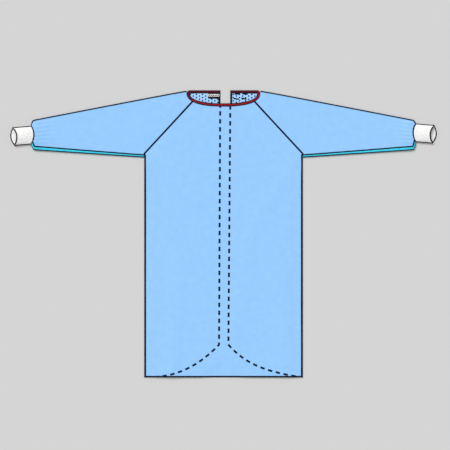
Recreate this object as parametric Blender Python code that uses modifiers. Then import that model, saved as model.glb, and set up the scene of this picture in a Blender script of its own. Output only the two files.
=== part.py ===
"""A surgical gown with raglan sleeves and an open back, laid out flat with its front up.

+X points along the wearer's left sleeve, +Y towards the neck and +Z up from the surface
that the gown lies on. The origin is on that surface, at the centre of the gown's outline.
Left and right are the wearer's, and side is +1 on the left and -1 on the right.
"""
import math
from collections import namedtuple
from functools import partial

import bmesh
import bpy
from mathutils import Matrix, Vector

# Walls
CLOTH_WALL = 0.0010
KNIT_WALL = 0.0018
TAPE_WALL = 0.0010
BINDING_WALL = 0.0019
PATCH_WALL = 0.0010
SEAM_GAP = 0.0003
FRONT_LAYER_Z = CLOTH_WALL + SEAM_GAP  # underside of the front where it lies on the back

# Body
GOWN_LENGTH = 1.250
CHEST_HALF = 0.345
ARMPIT_Y = 0.349
HEM_Y = -GOWN_LENGTH / 2
BACK_TAIL_RISE = 0.142  # how far a back's lower edge climbs from the side seam
BACK_TAIL_POWER = 2.4
TAIL_TOP_Y = HEM_Y + BACK_TAIL_RISE
OPENING_AT_NECK = {1: 0.0300, -1: 0.0142}  # from the centre line to each back's free edge
OPENING_AT_TAIL = {1: 0.0212, -1: 0.0195}

# Neckline
NECK_HALF = 0.153
NECK_DEPTH = 0.0507
NECK_POWER = 2.4
NECK_CORNER = 0.0065
BINDING_WIDTH = 0.0125
BINDING_Y = GOWN_LENGTH / 2 - BINDING_WIDTH / 2  # its centre line along the back
BINDING_SEAT = BINDING_WIDTH / 2 + SEAM_GAP  # from its centre line to the cloth's edge
FRONT_BINDING_Z = 0.0019
BINDING_CLIMB = 0.75  # share of the back where the binding starts to rise to the front
NECK_TOP_Y = BINDING_Y - NECK_CORNER
BACK_TOP_Y = BINDING_Y - BINDING_SEAT
RAGLAN_ANGLE = math.radians(33)  # where the raglan seam meets the neckline
SHOULDER = Vector((NECK_HALF + BINDING_SEAT, 0.6215))
BACK_CORNER = Vector((SHOULDER.x - SEAM_GAP, BACK_TOP_Y))

# Sleeve, with shares of its width from the shoulder fold (0) to the underarm (1)
UPPER_STEPS = 32
SHOULDER_SHARE = 1 / UPPER_STEPS  # up to here the front's edge runs beside the binding
NECK_SHARE = 7 / UPPER_STEPS
ARMPIT_SHARE = 30 / UPPER_STEPS
BACK_SHARE = 2 / UPPER_STEPS
LOWER_SHARES = (0.0, BACK_SHARE, 0.15, 0.28, 0.41, 0.54, 0.67, 0.80, ARMPIT_SHARE, 1.0)
UNDERARM = Vector((CHEST_HALF, 0.3343))
RAGLAN_SHIFT = Vector((0.0004, 0.0))  # opens SEAM_GAP across a raglan seam
SHOULDER_BULGE = 0.0018
WRIST_TOP = Vector((0.8224, 0.4967))
WRIST_BOTTOM = Vector((0.8207, 0.3655))
WRIST_ROUNDING = 0.0095  # reach of the sleeve's rounded end beyond the wrist
WRIST_DROP = 0.0085  # how much that end narrows halfway to the cuff
GATHER_HEIGHT = 0.0014
GATHER_STEPS = 4  # steps across one gather
GATHERED_SHARES = (2 / UPPER_STEPS, 26 / UPPER_STEPS)

# Sections of the sleeve from the raglan seam (0) to the wrist (1) and the cuff seam (2).
# Crowding is the share of the width that gives way to the rounding of each fold.
Section = namedtuple("Section", "station edge_height crown gather crowding")
SLEEVE_SECTIONS = (
    Section(0.00, 0.0028, 0.0000, 0.0, 0.02),
    Section(0.05, 0.0030, 0.0004, 0.0, 0.03),
    Section(0.14, 0.0036, 0.0008, 0.0, 0.04),
    Section(0.26, 0.0044, 0.0004, 0.0, 0.06),
    Section(0.38, 0.0048, -0.0004, 0.0, 0.07),
    Section(0.50, 0.0048, 0.0002, 0.0, 0.09),
    Section(0.62, 0.0050, -0.0004, 0.0, 0.10),
    Section(0.74, 0.0052, 0.0000, 0.0, 0.12),
    Section(0.84, 0.0056, 0.0006, 0.1, 0.13),
    Section(0.91, 0.0060, 0.0016, 0.3, 0.14),
    Section(0.96, 0.0064, 0.0030, 0.7, 0.15),
    Section(1.00, 0.0068, 0.0042, 1.0, 0.15),
    Section(1.50, 0.0070, 0.0050, 0.9, 0.15),
    Section(2.00, 0.0070, 0.0054, 0.5, 0.15),
)

# Sections of the cuff from its seam (0) to its mouth (1)
CUFF_SECTIONS = (
    Section(0.0, 0.0070, 0.0054, 0.0, 0.15),
    Section(0.2, 0.0074, 0.0070, 0.0, 0.15),
    Section(0.4, 0.0078, 0.0084, 0.0, 0.15),
    Section(0.6, 0.0080, 0.0094, 0.0, 0.15),
    Section(0.8, 0.0080, 0.0100, 0.0, 0.15),
    Section(1.0, 0.0080, 0.0104, 0.0, 0.15),
)
CUFF_SEAM = Vector((0.8360, 0.4353))
CUFF_MOUTH = Vector((0.9121, 0.4286))
CUFF_RUN = (CUFF_MOUTH - CUFF_SEAM).normalized()
CUFF_HALF = 0.0403
CUFF_RISE = {1: 0.0050, -1: -0.0050}
CUFF_SETBACK = 0.0112  # how far the upper layer's seam bows back from the cuff
MOUTH_BOW = 0.0142  # bow of the mouth's edge, back on the upper layer and out on the lower

# Underarm tape
TAPE_WIDTH = 0.0133
TAPE_END_STATION = 1.94
TAPE_WRAP_END = math.radians(-24)  # how far it turns under the sleeve's lower edge

# Touch fastener, its loops on the right back's inner face and its hooks under the left back
PATCH_LENGTH = 0.050
PATCH_HEIGHT = 0.023
PATCH_ROUND = 0.003
PATCH_Y = BACK_TOP_Y - SEAM_GAP - PATCH_HEIGHT / 2
LOOP_PATCH_X = -0.0420
HOOK_PATCH_X = 0.0765
HOOK_LIFT = PATCH_WALL + SEAM_GAP
HOOK_LIFT_Y = (0.568, 0.586)
HOOK_LIFT_X = (0.125, 0.1035)

# Loft of the front, and the folds that are large enough for its wall
FRONT_LOFT = 0.0016
Crease = namedtuple("Crease", "from_x from_y to_x to_y half_width height")
FRONT_CREASES = (
    Crease(-0.300, 0.330, -0.120, 0.130, 0.034, 0.0022),
    Crease(0.310, 0.300, 0.150, 0.050, 0.036, 0.0020),
    Crease(-0.190, -0.120, -0.230, -0.620, 0.040, 0.0026),
    Crease(0.110, -0.020, 0.060, -0.430, 0.038, 0.0018),
    Crease(0.245, -0.200, 0.280, -0.625, 0.036, 0.0024),
)
DROP_CLEARANCE = 0.050  # the front starts to sink this far below the back's lower edge
DROP_LENGTH = 0.070

SIDES = {"left": 1, "right": -1}
Finish = namedtuple("Finish", "colour roughness")
CLOTH = Finish((0.32, 0.60, 1.00, 1.0), 0.75)
KNIT = Finish((0.90, 0.90, 0.90, 1.0), 0.90)
NECK_TAPE = Finish((0.55, 0.01, 0.02, 1.0), 0.65)
SEAM_TAPE = Finish((0.03, 0.60, 0.82, 1.0), 0.45)
FASTENER = Finish((0.01, 0.01, 0.02, 1.0), 0.85)


def clear_scene():
    for obj in list(bpy.data.objects):
        bpy.data.objects.remove(obj)


def even(count, first=0.0, last=1.0):
    """Evenly spaced values over that many steps, with both ends."""
    return [first + (last - first) * i / count for i in range(count + 1)]


def blend(low, high, share):
    """low at 0, high at 1, with a level start and end."""
    share = min(max(share, 0.0), 1.0)
    return low + (high - low) * share * share * (3 - 2 * share)


def section_at(sections, station):
    """The section at a station, between the two that stand around it."""
    for lower, upper in zip(sections, sections[1:]):
        if station <= upper.station:
            share = (station - lower.station) / (upper.station - lower.station)
            return Section(*(a + (b - a) * share for a, b in zip(lower, upper)))
    return sections[-1]


def make_material(name, finish):
    material = bpy.data.materials.new(name)
    material.use_nodes = True
    shader = material.node_tree.nodes["Principled BSDF"]
    shader.inputs["Base Color"].default_value = finish.colour
    shader.inputs["Roughness"].default_value = finish.roughness
    shader.inputs["Metallic"].default_value = 0.0
    return material


def add_object(name, mesh, finish):
    mesh.materials.append(make_material(name, finish))
    obj = bpy.data.objects.new(name, mesh)
    bpy.data.collections["surgical_gown"].objects.link(obj)
    return obj


def add_cloth(name, mesh, finish, wall, outward=1.0):
    """One piece of cloth: its face, with a wall on the outward (1) or inward (-1) side."""
    obj = add_object(name, mesh, finish)
    modifier = obj.modifiers.new("Wall", "SOLIDIFY")
    modifier.thickness = wall
    modifier.offset = outward
    modifier.use_even_offset = True
    mesh.shade_smooth()
    mesh.set_sharp_from_angle(angle=math.radians(50))


def cloth_grid(name, across, along, place, tube=False):
    """A grid with one vertex for each pair of values, placed by a function of the two.

    Its first face is turned to face up. A tube's first and last values of across are the
    same line, which is joined.
    """
    grid = bmesh.new()
    columns, rows = len(across) - 1, len(along) - 1
    bmesh.ops.create_grid(grid, x_segments=columns, y_segments=rows, size=0.5)
    for vertex in grid.verts:
        column = round((vertex.co.x + 0.5) * columns)
        row = round((vertex.co.y + 0.5) * rows)
        vertex.co = place(across[column], along[row])
    grid.normal_update()
    grid.faces.ensure_lookup_table()
    if grid.faces[0].normal.z < 0:
        bmesh.ops.reverse_faces(grid, faces=grid.faces)
    if tube:
        bmesh.ops.remove_doubles(grid, verts=grid.verts, dist=1e-5)
    mesh = bpy.data.meshes.new(name)
    grid.to_mesh(mesh)
    grid.free()
    return mesh


def neck_point(angle, outward=0.0):
    """A point of the front neckline: 0 is the left shoulder, pi / 2 the centre front."""
    across, down = math.cos(angle), math.sin(angle)
    width = math.copysign(abs(across) ** (2 / NECK_POWER), across)
    depth = abs(down) ** (2 / NECK_POWER)
    slope_x = math.copysign(abs(width) ** (NECK_POWER - 1), across) / NECK_HALF
    slope_y = -(depth ** (NECK_POWER - 1)) / NECK_DEPTH
    point = Vector((NECK_HALF * width, NECK_TOP_Y - NECK_DEPTH * depth))
    return point + Vector((slope_x, slope_y)).normalized() * outward


def crease_height(x, y):
    """Height of the front's folds, each fading off its ends and to both sides."""
    height = 0.0
    for crease in FRONT_CREASES:
        start = Vector((crease.from_x, crease.from_y))
        run = Vector((crease.to_x, crease.to_y)) - start
        offset = Vector((x, y)) - start
        share = min(max(offset.dot(run) / run.length_squared, 0.0), 1.0)
        away = (offset - run * share).length / crease.half_width
        height += crease.height * math.exp(-away * away)
    return height


def opening_edge(side, y):
    """Distance from the centre line to a back's free edge, at a height on the gown."""
    share = (max(y, TAIL_TOP_Y) - TAIL_TOP_Y) / (BACK_TOP_Y - TAIL_TOP_Y)
    return OPENING_AT_TAIL[side] + (OPENING_AT_NECK[side] - OPENING_AT_TAIL[side]) * share


def tail_curve(side, x):
    """Height of a back's lower edge at a distance from the centre line."""
    edge = OPENING_AT_TAIL[side]
    share = min(max((x - edge) / (CHEST_HALF - edge), 0.0), 1.0)
    return HEM_Y + BACK_TAIL_RISE * (1 - share) ** BACK_TAIL_POWER


def front_place(u, v):
    """A point of the front's underside: u runs from side to side, and v from the hem (0)
    to the armpit (1) and on to the neckline (2)."""
    plan = Vector((u * CHEST_HALF, HEM_Y + (ARMPIT_Y - HEM_Y) * min(v, 1.0)))
    if v > 1:
        angle = math.pi / 2 - u * (math.pi / 2 - RAGLAN_ANGLE)
        plan = plan.lerp(neck_point(angle, BINDING_SEAT), v - 1)
    seam_fade = (1 - u ** 6) * (1 - max(v - 1, 0.0) ** 3)
    side = 1 if plan.x >= 0 else -1
    below_back = tail_curve(side, abs(plan.x)) - plan.y
    layer = blend(FRONT_LAYER_Z, 0.0, (below_back - DROP_CLEARANCE) / DROP_LENGTH)
    loft = FRONT_LOFT * layer / FRONT_LAYER_Z + crease_height(plan.x, plan.y)
    return Vector((plan.x, plan.y, layer + loft * seam_fade))


def make_front():
    left_half = [-1, -0.96, -0.88, -0.78, -0.67, -0.55, -0.43, -0.31, -0.2, -0.1]
    across = left_half + [0] + [-u for u in reversed(left_half)]
    along = even(14) + even(7, 1.0, 2.0)[1:]
    mesh = cloth_grid("front_panel", across, along, front_place)
    add_cloth("front_panel", mesh, CLOTH, CLOTH_WALL)


def back_outer_edge(y):
    """Distance from the centre line to a back's side seam or raglan seam."""
    share = max(y - ARMPIT_Y, 0.0) / (BACK_CORNER.y - ARMPIT_Y)
    return CHEST_HALF + (BACK_CORNER.x - CHEST_HALF) * share


def hook_lift(x, y):
    """How far the hooks prop up the left back, fading below and beside them."""
    rise = (y - HOOK_LIFT_Y[0]) / (HOOK_LIFT_Y[1] - HOOK_LIFT_Y[0])
    reach = (x - HOOK_LIFT_X[0]) / (HOOK_LIFT_X[1] - HOOK_LIFT_X[0])
    return HOOK_LIFT * min(max(rise, 0.0), 1.0) * min(max(reach, 0.0), 1.0)


def back_place(side, share, v):
    """A point of a back's underside: share runs from the free edge to the side, and v from
    the lower edge (0) to the armpit (1) and on to the neck edge (2)."""
    if v <= 1:
        edge = OPENING_AT_TAIL[side]
        low = tail_curve(side, edge + (CHEST_HALF - edge) * share)
        y = low + (ARMPIT_Y - low) * v
    else:
        y = ARMPIT_Y + (BACK_TOP_Y - ARMPIT_Y) * (v - 1)
    inner = opening_edge(side, y)
    x = inner + (back_outer_edge(y) - inner) * share
    return Vector((side * x, y, hook_lift(x, y) if side > 0 else 0.0))


def make_backs():
    across = [0, 0.05, 0.11, 0.18, 0.27, 0.38, 0.5, 0.6, 0.7, 0.85, 1]
    lift_rows = [1 + (y - ARMPIT_Y) / (BACK_TOP_Y - ARMPIT_Y) for y in HOOK_LIFT_Y]
    along = [0, 0.06, 0.14, 0.25, 0.40, 0.55, 0.70, 0.85, 1, 1.27, 1.54, *lift_rows, 2]
    for name, side in SIDES.items():
        node = f"back_panel_{name}"
        add_cloth(node, cloth_grid(node, across, along, partial(back_place, side)),
                  CLOTH, CLOTH_WALL)


def raglan_line(top, share, first):
    """A raglan seam from its top, at share first, to the armpit and down the side seam."""
    armpit = Vector((CHEST_HALF, ARMPIT_Y))
    if share <= ARMPIT_SHARE:
        return top.lerp(armpit, (share - first) / (ARMPIT_SHARE - first))
    return armpit.lerp(UNDERARM, (share - ARMPIT_SHARE) / (1 - ARMPIT_SHARE))


def front_armhole(share):
    """The edge of the sleeve's front, from the shoulder fold along the neckline, down the
    raglan seam and to the underarm."""
    if share <= SHOULDER_SHARE:
        return SHOULDER.lerp(neck_point(0, BINDING_SEAT), share / SHOULDER_SHARE)
    if share <= NECK_SHARE:
        step = (share - SHOULDER_SHARE) / (NECK_SHARE - SHOULDER_SHARE)
        return neck_point(RAGLAN_ANGLE * step ** 1.3, BINDING_SEAT)
    return raglan_line(neck_point(RAGLAN_ANGLE, BINDING_SEAT), share, NECK_SHARE)


def back_armhole(share):
    """The edge of the sleeve's back, from the shoulder fold to the underarm."""
    if share <= BACK_SHARE:
        return SHOULDER.lerp(BACK_CORNER, share / BACK_SHARE)
    return raglan_line(BACK_CORNER, share, BACK_SHARE)


def sleeve_plan(side, station, share, is_front):
    """A point of one layer of the sleeve, seen from above."""
    setback = Vector((CUFF_SETBACK * math.sin(math.pi * share) if is_front else 0.0, 0))
    wrist = WRIST_TOP.lerp(WRIST_BOTTOM, share)
    if station <= 1:
        armhole = (front_armhole if is_front else back_armhole)(share) + RAGLAN_SHIFT
        bulge = SHOULDER_BULGE * math.sin(math.pi * math.sqrt(station)) * (1 - share)
        return armhole.lerp(wrist - setback, station) + Vector((0, bulge))
    rounded = wrist + Vector((WRIST_ROUNDING, (2 * share - 1) * WRIST_DROP))
    if station <= 1.5:
        return wrist.lerp(rounded, (station - 1) / 0.5) - setback
    seam = cuff_plan(side, 0.0, share, is_front)
    return (rounded - setback).lerp(seam, (station - 1.5) / 0.5)


def cuff_plan(side, reach, share, is_front):
    """A point of one layer of the cuff, seen from above."""
    centre = CUFF_SEAM.lerp(CUFF_MOUTH, reach) + Vector((0, CUFF_RISE[side]))
    across = Vector((-CUFF_RUN.y * reach, 1.0)).normalized()
    seam_bow = CUFF_SETBACK * (1 - reach) if is_front else 0.0
    mouth_bow = MOUTH_BOW * reach * (1 if is_front else -1)
    bow = (seam_bow + mouth_bow) * math.sin(math.pi * share)
    return centre + across * CUFF_HALF * (1 - 2 * share) - CUFF_RUN * bow


def upper_point(plan, section, share):
    """Place and height of a tube's upper layer, with its gathers."""
    spot = plan(share, True)
    spot.y += fold_inset(section, share)
    height = section.edge_height + section.crown * math.sin(math.pi * share)
    if GATHERED_SHARES[0] < share < GATHERED_SHARES[1]:
        phase = (share - GATHERED_SHARES[0]) * UPPER_STEPS / GATHER_STEPS
        height += section.gather * GATHER_HEIGHT * (1 - math.cos(2 * math.pi * phase)) / 2
    return spot, height


def lower_point(plan, section, share):
    spot = plan(share, False)
    spot.y += fold_inset(section, share)
    return spot, 0.0


def fold_inset(section, share):
    """Moves a layer's points in from each fold, by the fold's radius at its edge."""
    top = max(1 - share / section.crowding, 0.0)
    low = max(1 - (1 - share) / section.crowding, 0.0)
    return section.edge_height / 2 * (low - top)


def fold_point(plan, section, share, angle, clear=0.0):
    """Place and height on the rounded fold at share 0 or 1, at an angle above level."""
    radius = section.edge_height / 2
    inward = 1 if share == 1 else -1
    spot = (plan(share, True) + plan(share, False)) / 2
    spot.y += inward * (radius - (radius + clear) * math.cos(angle))
    return spot, radius + (radius + clear) * math.sin(angle)


def tube_point(plan_of, sections, side, turn, station):
    """A point of a flattened tube's outer face.

    0 to 1 is the upper layer from the top fold to the lower fold, 1 to 2 the lower fold,
    2 to 3 the layer that rests on the surface, and 3 to 4 the top fold.
    """
    plan = partial(plan_of, side, station)
    section = section_at(sections, station)
    if turn <= 1:
        spot, z = upper_point(plan, section, turn)
    elif turn < 2:
        spot, z = fold_point(plan, section, 1, math.pi * (1.5 - turn))
    elif turn <= 3:
        spot, z = lower_point(plan, section, 3 - turn)
    else:
        spot, z = fold_point(plan, section, 0, math.pi * (turn - 3.5))
    return Vector((side * spot.x, spot.y, z))


def tube_turns(upper, lower):
    """Values of one round of a flattened tube, from the shares of its two layers."""
    lower_fold = even(4, 1, 2)[1:-1]
    top_fold = even(4, 3, 4)[1:]
    return [*upper, *lower_fold, *(3 - share for share in reversed(lower)), *top_fold]


def make_sleeves():
    stations = [section.station for section in SLEEVE_SECTIONS]
    turns = tube_turns(even(UPPER_STEPS), LOWER_SHARES)
    for name, side in SIDES.items():
        node = f"sleeve_{name}"
        place = partial(tube_point, sleeve_plan, SLEEVE_SECTIONS, side)
        add_cloth(node, cloth_grid(node, turns, stations, place, tube=True),
                  CLOTH, CLOTH_WALL, outward=-1.0)


def cuff_place(side, turn, reach):
    spot = tube_point(cuff_plan, CUFF_SECTIONS, side, turn, reach)
    return spot + Vector((side * SEAM_GAP, 0, 0))


def make_cuffs():
    reaches = [section.station for section in CUFF_SECTIONS]
    turns = tube_turns(even(16), even(10))
    for name, side in SIDES.items():
        node = f"cuff_{name}"
        add_cloth(node, cloth_grid(node, turns, reaches, partial(cuff_place, side), tube=True),
                  KNIT, KNIT_WALL, outward=-1.0)


def tape_place(side, share, station):
    """A point of the tape's inner face: 0 to 1 lies on the sleeve's front, up to the lower
    fold, and 1 to 2 turns round that fold towards the surface."""
    plan = partial(sleeve_plan, side, station)
    section = section_at(SLEEVE_SECTIONS, station)
    if share <= 1:
        sleeve_width = (plan(0, True) - plan(1, True)).length
        spot, z = upper_point(plan, section, 1 - TAPE_WIDTH / sleeve_width * (1 - share))
        return Vector((side * spot.x, spot.y, z + SEAM_GAP))
    angle = math.pi / 2 + (TAPE_WRAP_END - math.pi / 2) * (share - 1)
    spot, z = fold_point(plan, section, 1, angle, SEAM_GAP)
    return Vector((side * spot.x, spot.y, z))


def make_tapes():
    stations = [section.station for section in SLEEVE_SECTIONS[:-1]] + [TAPE_END_STATION]
    across = even(3) + even(5, 1, 2)[1:]
    for name, side in SIDES.items():
        node = f"sleeve_tape_{name}"
        add_cloth(node, cloth_grid(node, across, stations, partial(tape_place, side)),
                  SEAM_TAPE, TAPE_WALL)


def binding_line(run):
    """Centre point, outward direction and seat height of the neck binding.

    0 to 1 runs along the left back's neck edge from its free end, 1 to 2 round the left
    shoulder, 2 to 3 along the front, 3 to 4 round the right shoulder, 4 to 5 back again.
    """
    if 2 <= run <= 3:
        angle = (run - 2) * math.pi
        point = neck_point(angle)
        return point, neck_point(angle, 1.0) - point, FRONT_BINDING_Z
    side = 1 if run < 2 else -1
    step = run if side > 0 else 5 - run
    corner = Vector((side * (NECK_HALF - NECK_CORNER), NECK_TOP_Y))
    if step > 1:
        angle = math.pi / 2 * (2 - step)
        outward = Vector((side * math.cos(angle), math.sin(angle)))
        return corner + outward * NECK_CORNER, outward, FRONT_BINDING_Z
    free_end = Vector((side * opening_edge(side, BACK_TOP_Y), BINDING_Y))
    point = free_end.lerp(Vector((corner.x, BINDING_Y)), step)
    climb = (step - BINDING_CLIMB) / (1 - BINDING_CLIMB)
    return point, Vector((0, 1)), blend(HOOK_LIFT if side > 0 else 0.0, FRONT_BINDING_Z, climb)


def binding_place(across, run):
    point, outward, seat = binding_line(run)
    spot = point + outward * across * BINDING_WIDTH
    return Vector((spot.x, spot.y, seat))


def make_binding():
    left_back = [0, 0.3, 0.6, *even(4, BINDING_CLIMB, 1)[:-1], *even(4, 1, 2)[:-1]]
    runs = [*left_back, *even(36, 2, 3), *(5 - run for run in reversed(left_back))]
    mesh = cloth_grid("neck_binding", even(4, -0.5, 0.5), runs, binding_place)
    add_cloth("neck_binding", mesh, NECK_TAPE, BINDING_WALL)


def make_patch(name, x, seat):
    """One half of the touch fastener, a flat strip with rounded corners."""
    strip = bmesh.new()
    box = Matrix.Diagonal((PATCH_LENGTH, PATCH_HEIGHT, PATCH_WALL, 1.0))
    bmesh.ops.create_cube(strip, size=1.0, matrix=box)
    upright = [edge for edge in strip.edges if edge.calc_length() < 2 * PATCH_WALL]
    bmesh.ops.bevel(strip, geom=upright, offset=PATCH_ROUND, segments=3, profile=0.5,
                    affect="EDGES")
    mesh = bpy.data.meshes.new(name)
    strip.to_mesh(mesh)
    strip.free()
    add_object(name, mesh, FASTENER).location = (x, PATCH_Y, seat + PATCH_WALL / 2)


def main():
    clear_scene()
    gown = bpy.data.collections.new("surgical_gown")
    bpy.context.scene.collection.children.link(gown)
    make_front()
    make_backs()
    make_sleeves()
    make_cuffs()
    make_tapes()
    make_binding()
    make_patch("loop_patch", LOOP_PATCH_X, CLOTH_WALL + SEAM_GAP)
    make_patch("hook_patch", HOOK_PATCH_X, 0.0)


main()
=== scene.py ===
"""The looks of a surgical gown that lies flat with its front up.

Metres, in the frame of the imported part: +X points along the wearer's left sleeve, +Y towards
the neck and +Z up from the surface that the gown lies on. A side is +1 on the wearer's left
and -1 on the right.
"""
import logging
import math
from collections.abc import Callable, Sequence
from dataclasses import dataclass, field
from enum import Enum
from functools import partial
from itertools import accumulate
from typing import Any

import bmesh
import bpy
from bpy.types import Material, Mesh, Node, NodeSocket, NodeTree, Object
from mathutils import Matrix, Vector, noise
from mathutils.kdtree import KDTree


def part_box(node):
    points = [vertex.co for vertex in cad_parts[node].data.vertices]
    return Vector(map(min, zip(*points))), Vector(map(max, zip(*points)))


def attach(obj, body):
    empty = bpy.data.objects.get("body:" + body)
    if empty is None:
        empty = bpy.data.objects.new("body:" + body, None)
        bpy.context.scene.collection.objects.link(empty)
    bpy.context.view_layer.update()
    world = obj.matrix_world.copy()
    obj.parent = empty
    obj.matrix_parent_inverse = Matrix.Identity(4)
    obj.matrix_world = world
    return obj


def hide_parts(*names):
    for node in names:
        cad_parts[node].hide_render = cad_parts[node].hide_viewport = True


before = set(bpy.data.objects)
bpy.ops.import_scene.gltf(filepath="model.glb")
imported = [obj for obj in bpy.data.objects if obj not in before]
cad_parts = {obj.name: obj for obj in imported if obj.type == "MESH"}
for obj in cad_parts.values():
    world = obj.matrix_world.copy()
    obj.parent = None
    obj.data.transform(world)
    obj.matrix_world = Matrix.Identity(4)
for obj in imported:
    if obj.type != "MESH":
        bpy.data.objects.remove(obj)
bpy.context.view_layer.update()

BODY = "root"
UP_MARK = "seam_up"
TURN_MARK = "turn"
FADE_MARK = "rib_fade"
ACROSS_MARK = "hidden_across"
ALONG_MARK = "hidden_along"
CUT_MAP = "cut"

Triple = tuple[float, float, float]
Colour = Triple
Pair = tuple[float, float]
Values = Sequence[float]
Inputs = dict[str | int, Any]
Place = Callable[[float, float], Vector]
Line = list[tuple[Vector, Vector]]
Sockets = dict[str, list[str]]

NAVY: Colour = (0.0018, 0.0060, 0.0180)
UP = Vector((0.0, 0.0, 1.0))
DOWN = Vector((0.0, 0.0, -1.0))
SIDES = {"left": 1, "right": -1}
# The distance between pieces that are sewn or stuck to each other.
GAP = 0.0003
# How far a row of stitches stands proud of the cloth.
PROUD = 0.0001
# How fast the phase of a wave texture grows along its bands at a scale of 1.
WAVE_RATE = 20.0
# The sizes of a row that are angles, in degrees.
ANGLES = {"slant", "jitter", "sweep", "lean"}

log = logging.getLogger("gown")


class Slot(Enum):
    """The gown's material slots."""

    CLOTH = "gown_cloth"
    KNIT = "cuff_knit"
    TAPE = "seam_tape"
    BINDING = "neck_tape"
    FASTENER = "fastener"


class TreeKind(Enum):
    """The two kinds of node tree that this script builds."""

    SHAPE = "GeometryNodeTree"
    SHADE = "ShaderNodeTree"


def even(count: int, first: float = 0.0, last: float = 1.0) -> list[float]:
    """Evenly spaced values over that many steps, with both ends."""
    return [first + (last - first) * i / count for i in range(count + 1)]


def stages(counts: Sequence[int], ends: Values = (0, 1, 2)) -> list[float]:
    """Values that run through several stages, evenly spaced in each.

    Args:
        counts: How many steps each stage has.
        ends: The value where the first stage starts, and where each stage ends.

    Returns:
        The values.
    """
    values = [float(ends[0])]
    for count, low, high in zip(counts, ends, ends[1:]):
        values += even(count, low, high)[1:]
    return values


def portion(value: float, low: float, high: float) -> float:
    """How far a value is from one limit to another, from 0 to 1."""
    return min(max((value - low) / (high - low), 0.0), 1.0)


def ease(low: float, high: float, share: float) -> float:
    """A smooth step from one value to another, by a share that is clipped to 0 and 1."""
    share = portion(share, 0.0, 1.0)
    return low + (high - low) * share * share * (3 - 2 * share)


def hermite(start: Vector, end: Vector, leave: Vector, arrive: Vector, share: float) -> Vector:
    """A smooth curve between two points.

    Args:
        start: The first point.
        end: The last point.
        leave: The curve's speed at the first point.
        arrive: Its speed at the last point.
        share: How far along it is, from 0 to 1.

    Returns:
        The point there.
    """
    square, cube = share * share, share ** 3
    spot = start * (2 * cube - 3 * square + 1) + end * (3 * square - 2 * cube)
    return spot + leave * (cube - 2 * square + share) + arrive * (cube - square)


def running_length(points: Sequence[Vector]) -> list[float]:
    """The length of a line up to each of its points."""
    steps = ((end - start).length for start, end in zip(points, points[1:]))
    return list(accumulate(steps, initial=0.0))


def flat_area(across: Values, along: Values, place: Place) -> float:
    """The area of a grid of cloth seen from above, which is that of a flat cut."""
    rows = [[place(value, station).xy for value in across] for station in along]
    return sum(abs((c - a).cross(d - b)) / 2 for low, high in zip(rows, rows[1:])
               for a, b, c, d in zip(low, low[1:], high[1:], high))


def box_size(node: str) -> Vector:
    """The size of a solid's box."""
    low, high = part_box(node)
    return high - low


def shaded(colour: Colour, factor: float, plus: float = 0.0) -> Colour:
    """A colour with each part multiplied and raised, up to 1."""
    return tuple(min(part * factor + plus, 1.0) for part in colour)


@dataclass
class NodeBench:
    """Adds the nodes of one tree and links them."""

    tree: NodeTree

    def add(self, kind: str, inputs: Inputs | None = None, **settings: Any) -> Node:
        """Adds a node.

        Args:
            kind: Blender's name for the node.
            inputs: A value or another node's socket for each input, by name or place.
            **settings: The node's own settings, which are set before its inputs.

        Returns:
            The new node.
        """
        node = self.tree.nodes.new(kind)
        for name, value in settings.items():
            setattr(node, name, value)
        for key, value in (inputs or {}).items():
            self.feed(node.inputs[key] if isinstance(key, int) else next(
                socket for socket in node.inputs if socket.name == key and socket.enabled), value)
        return node

    def feed(self, socket: NodeSocket, value: Any) -> None:
        """Gives an input a value or another node's socket."""
        if isinstance(value, NodeSocket):
            self.tree.links.new(value, socket)
        else:
            socket.default_value = value

    def out(self, kind: str, inputs: Inputs | None = None, **settings: Any) -> NodeSocket:
        """Adds a node as add does, and gives its first output that is in use."""
        node = self.add(kind, inputs, **settings)
        return next(socket for socket in node.outputs if socket.enabled)

    def math(self, operation: str, first: Any, second: Any = 0.0) -> NodeSocket:
        """A sum on two values or sockets."""
        return self.out("ShaderNodeMath", {0: first, 1: second}, operation=operation)

    def vector(self, operation: str, first: Any, second: Any = (0.0, 0.0, 0.0)) -> NodeSocket:
        """A sum on two vectors or sockets."""
        return self.out("ShaderNodeVectorMath", {0: first, 1: second}, operation=operation)

    def triple(self, x: Any = 0.0, y: Any = 0.0, z: Any = 0.0) -> NodeSocket:
        """A vector of three values or sockets."""
        return self.out("ShaderNodeCombineXYZ", {"X": x, "Y": y, "Z": z})

    def step(self, value: Any, low: Any, high: Any, at_low: float = 0.0,
             at_high: float = 1.0) -> NodeSocket:
        """A smooth step between two limits of a value, with the results at both of them."""
        limits = {"From Min": low, "From Max": high, "To Min": at_low, "To Max": at_high}
        return self.out("ShaderNodeMapRange", {"Value": value, **limits},
                        interpolation_type="SMOOTHSTEP")

    def tint(self, share: Any, first: Any, second: Any) -> NodeSocket:
        """A mix of two colours, by the share of the second."""
        ends = [end if isinstance(end, NodeSocket) else (*end, 1.0) for end in (first, second)]
        return self.out("ShaderNodeMix", {"Factor": share, "A": ends[0], "B": ends[1]},
                        data_type="RGBA")


class GroupBench(NodeBench):
    """Builds a new node group with named sockets."""

    def __init__(self, name: str, kind: TreeKind, takes: Sockets, gives: Sockets) -> None:
        """Makes the group with its sockets.

        Args:
            name: The group's name.
            kind: Whether it makes shapes or shades.
            takes: The names of its inputs of each kind, such as Float.
            gives: The names of its outputs of each kind.
        """
        super().__init__(bpy.data.node_groups.new(name, kind.value))
        for way, kinds in (("INPUT", takes), ("OUTPUT", gives)):
            for socket, labels in kinds.items():
                for label in labels:
                    self.tree.interface.new_socket(label, in_out=way,
                                                   socket_type=f"NodeSocket{socket}")
        self.given = self.add("NodeGroupInput").outputs
        self.result = self.add("NodeGroupOutput").inputs


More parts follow.
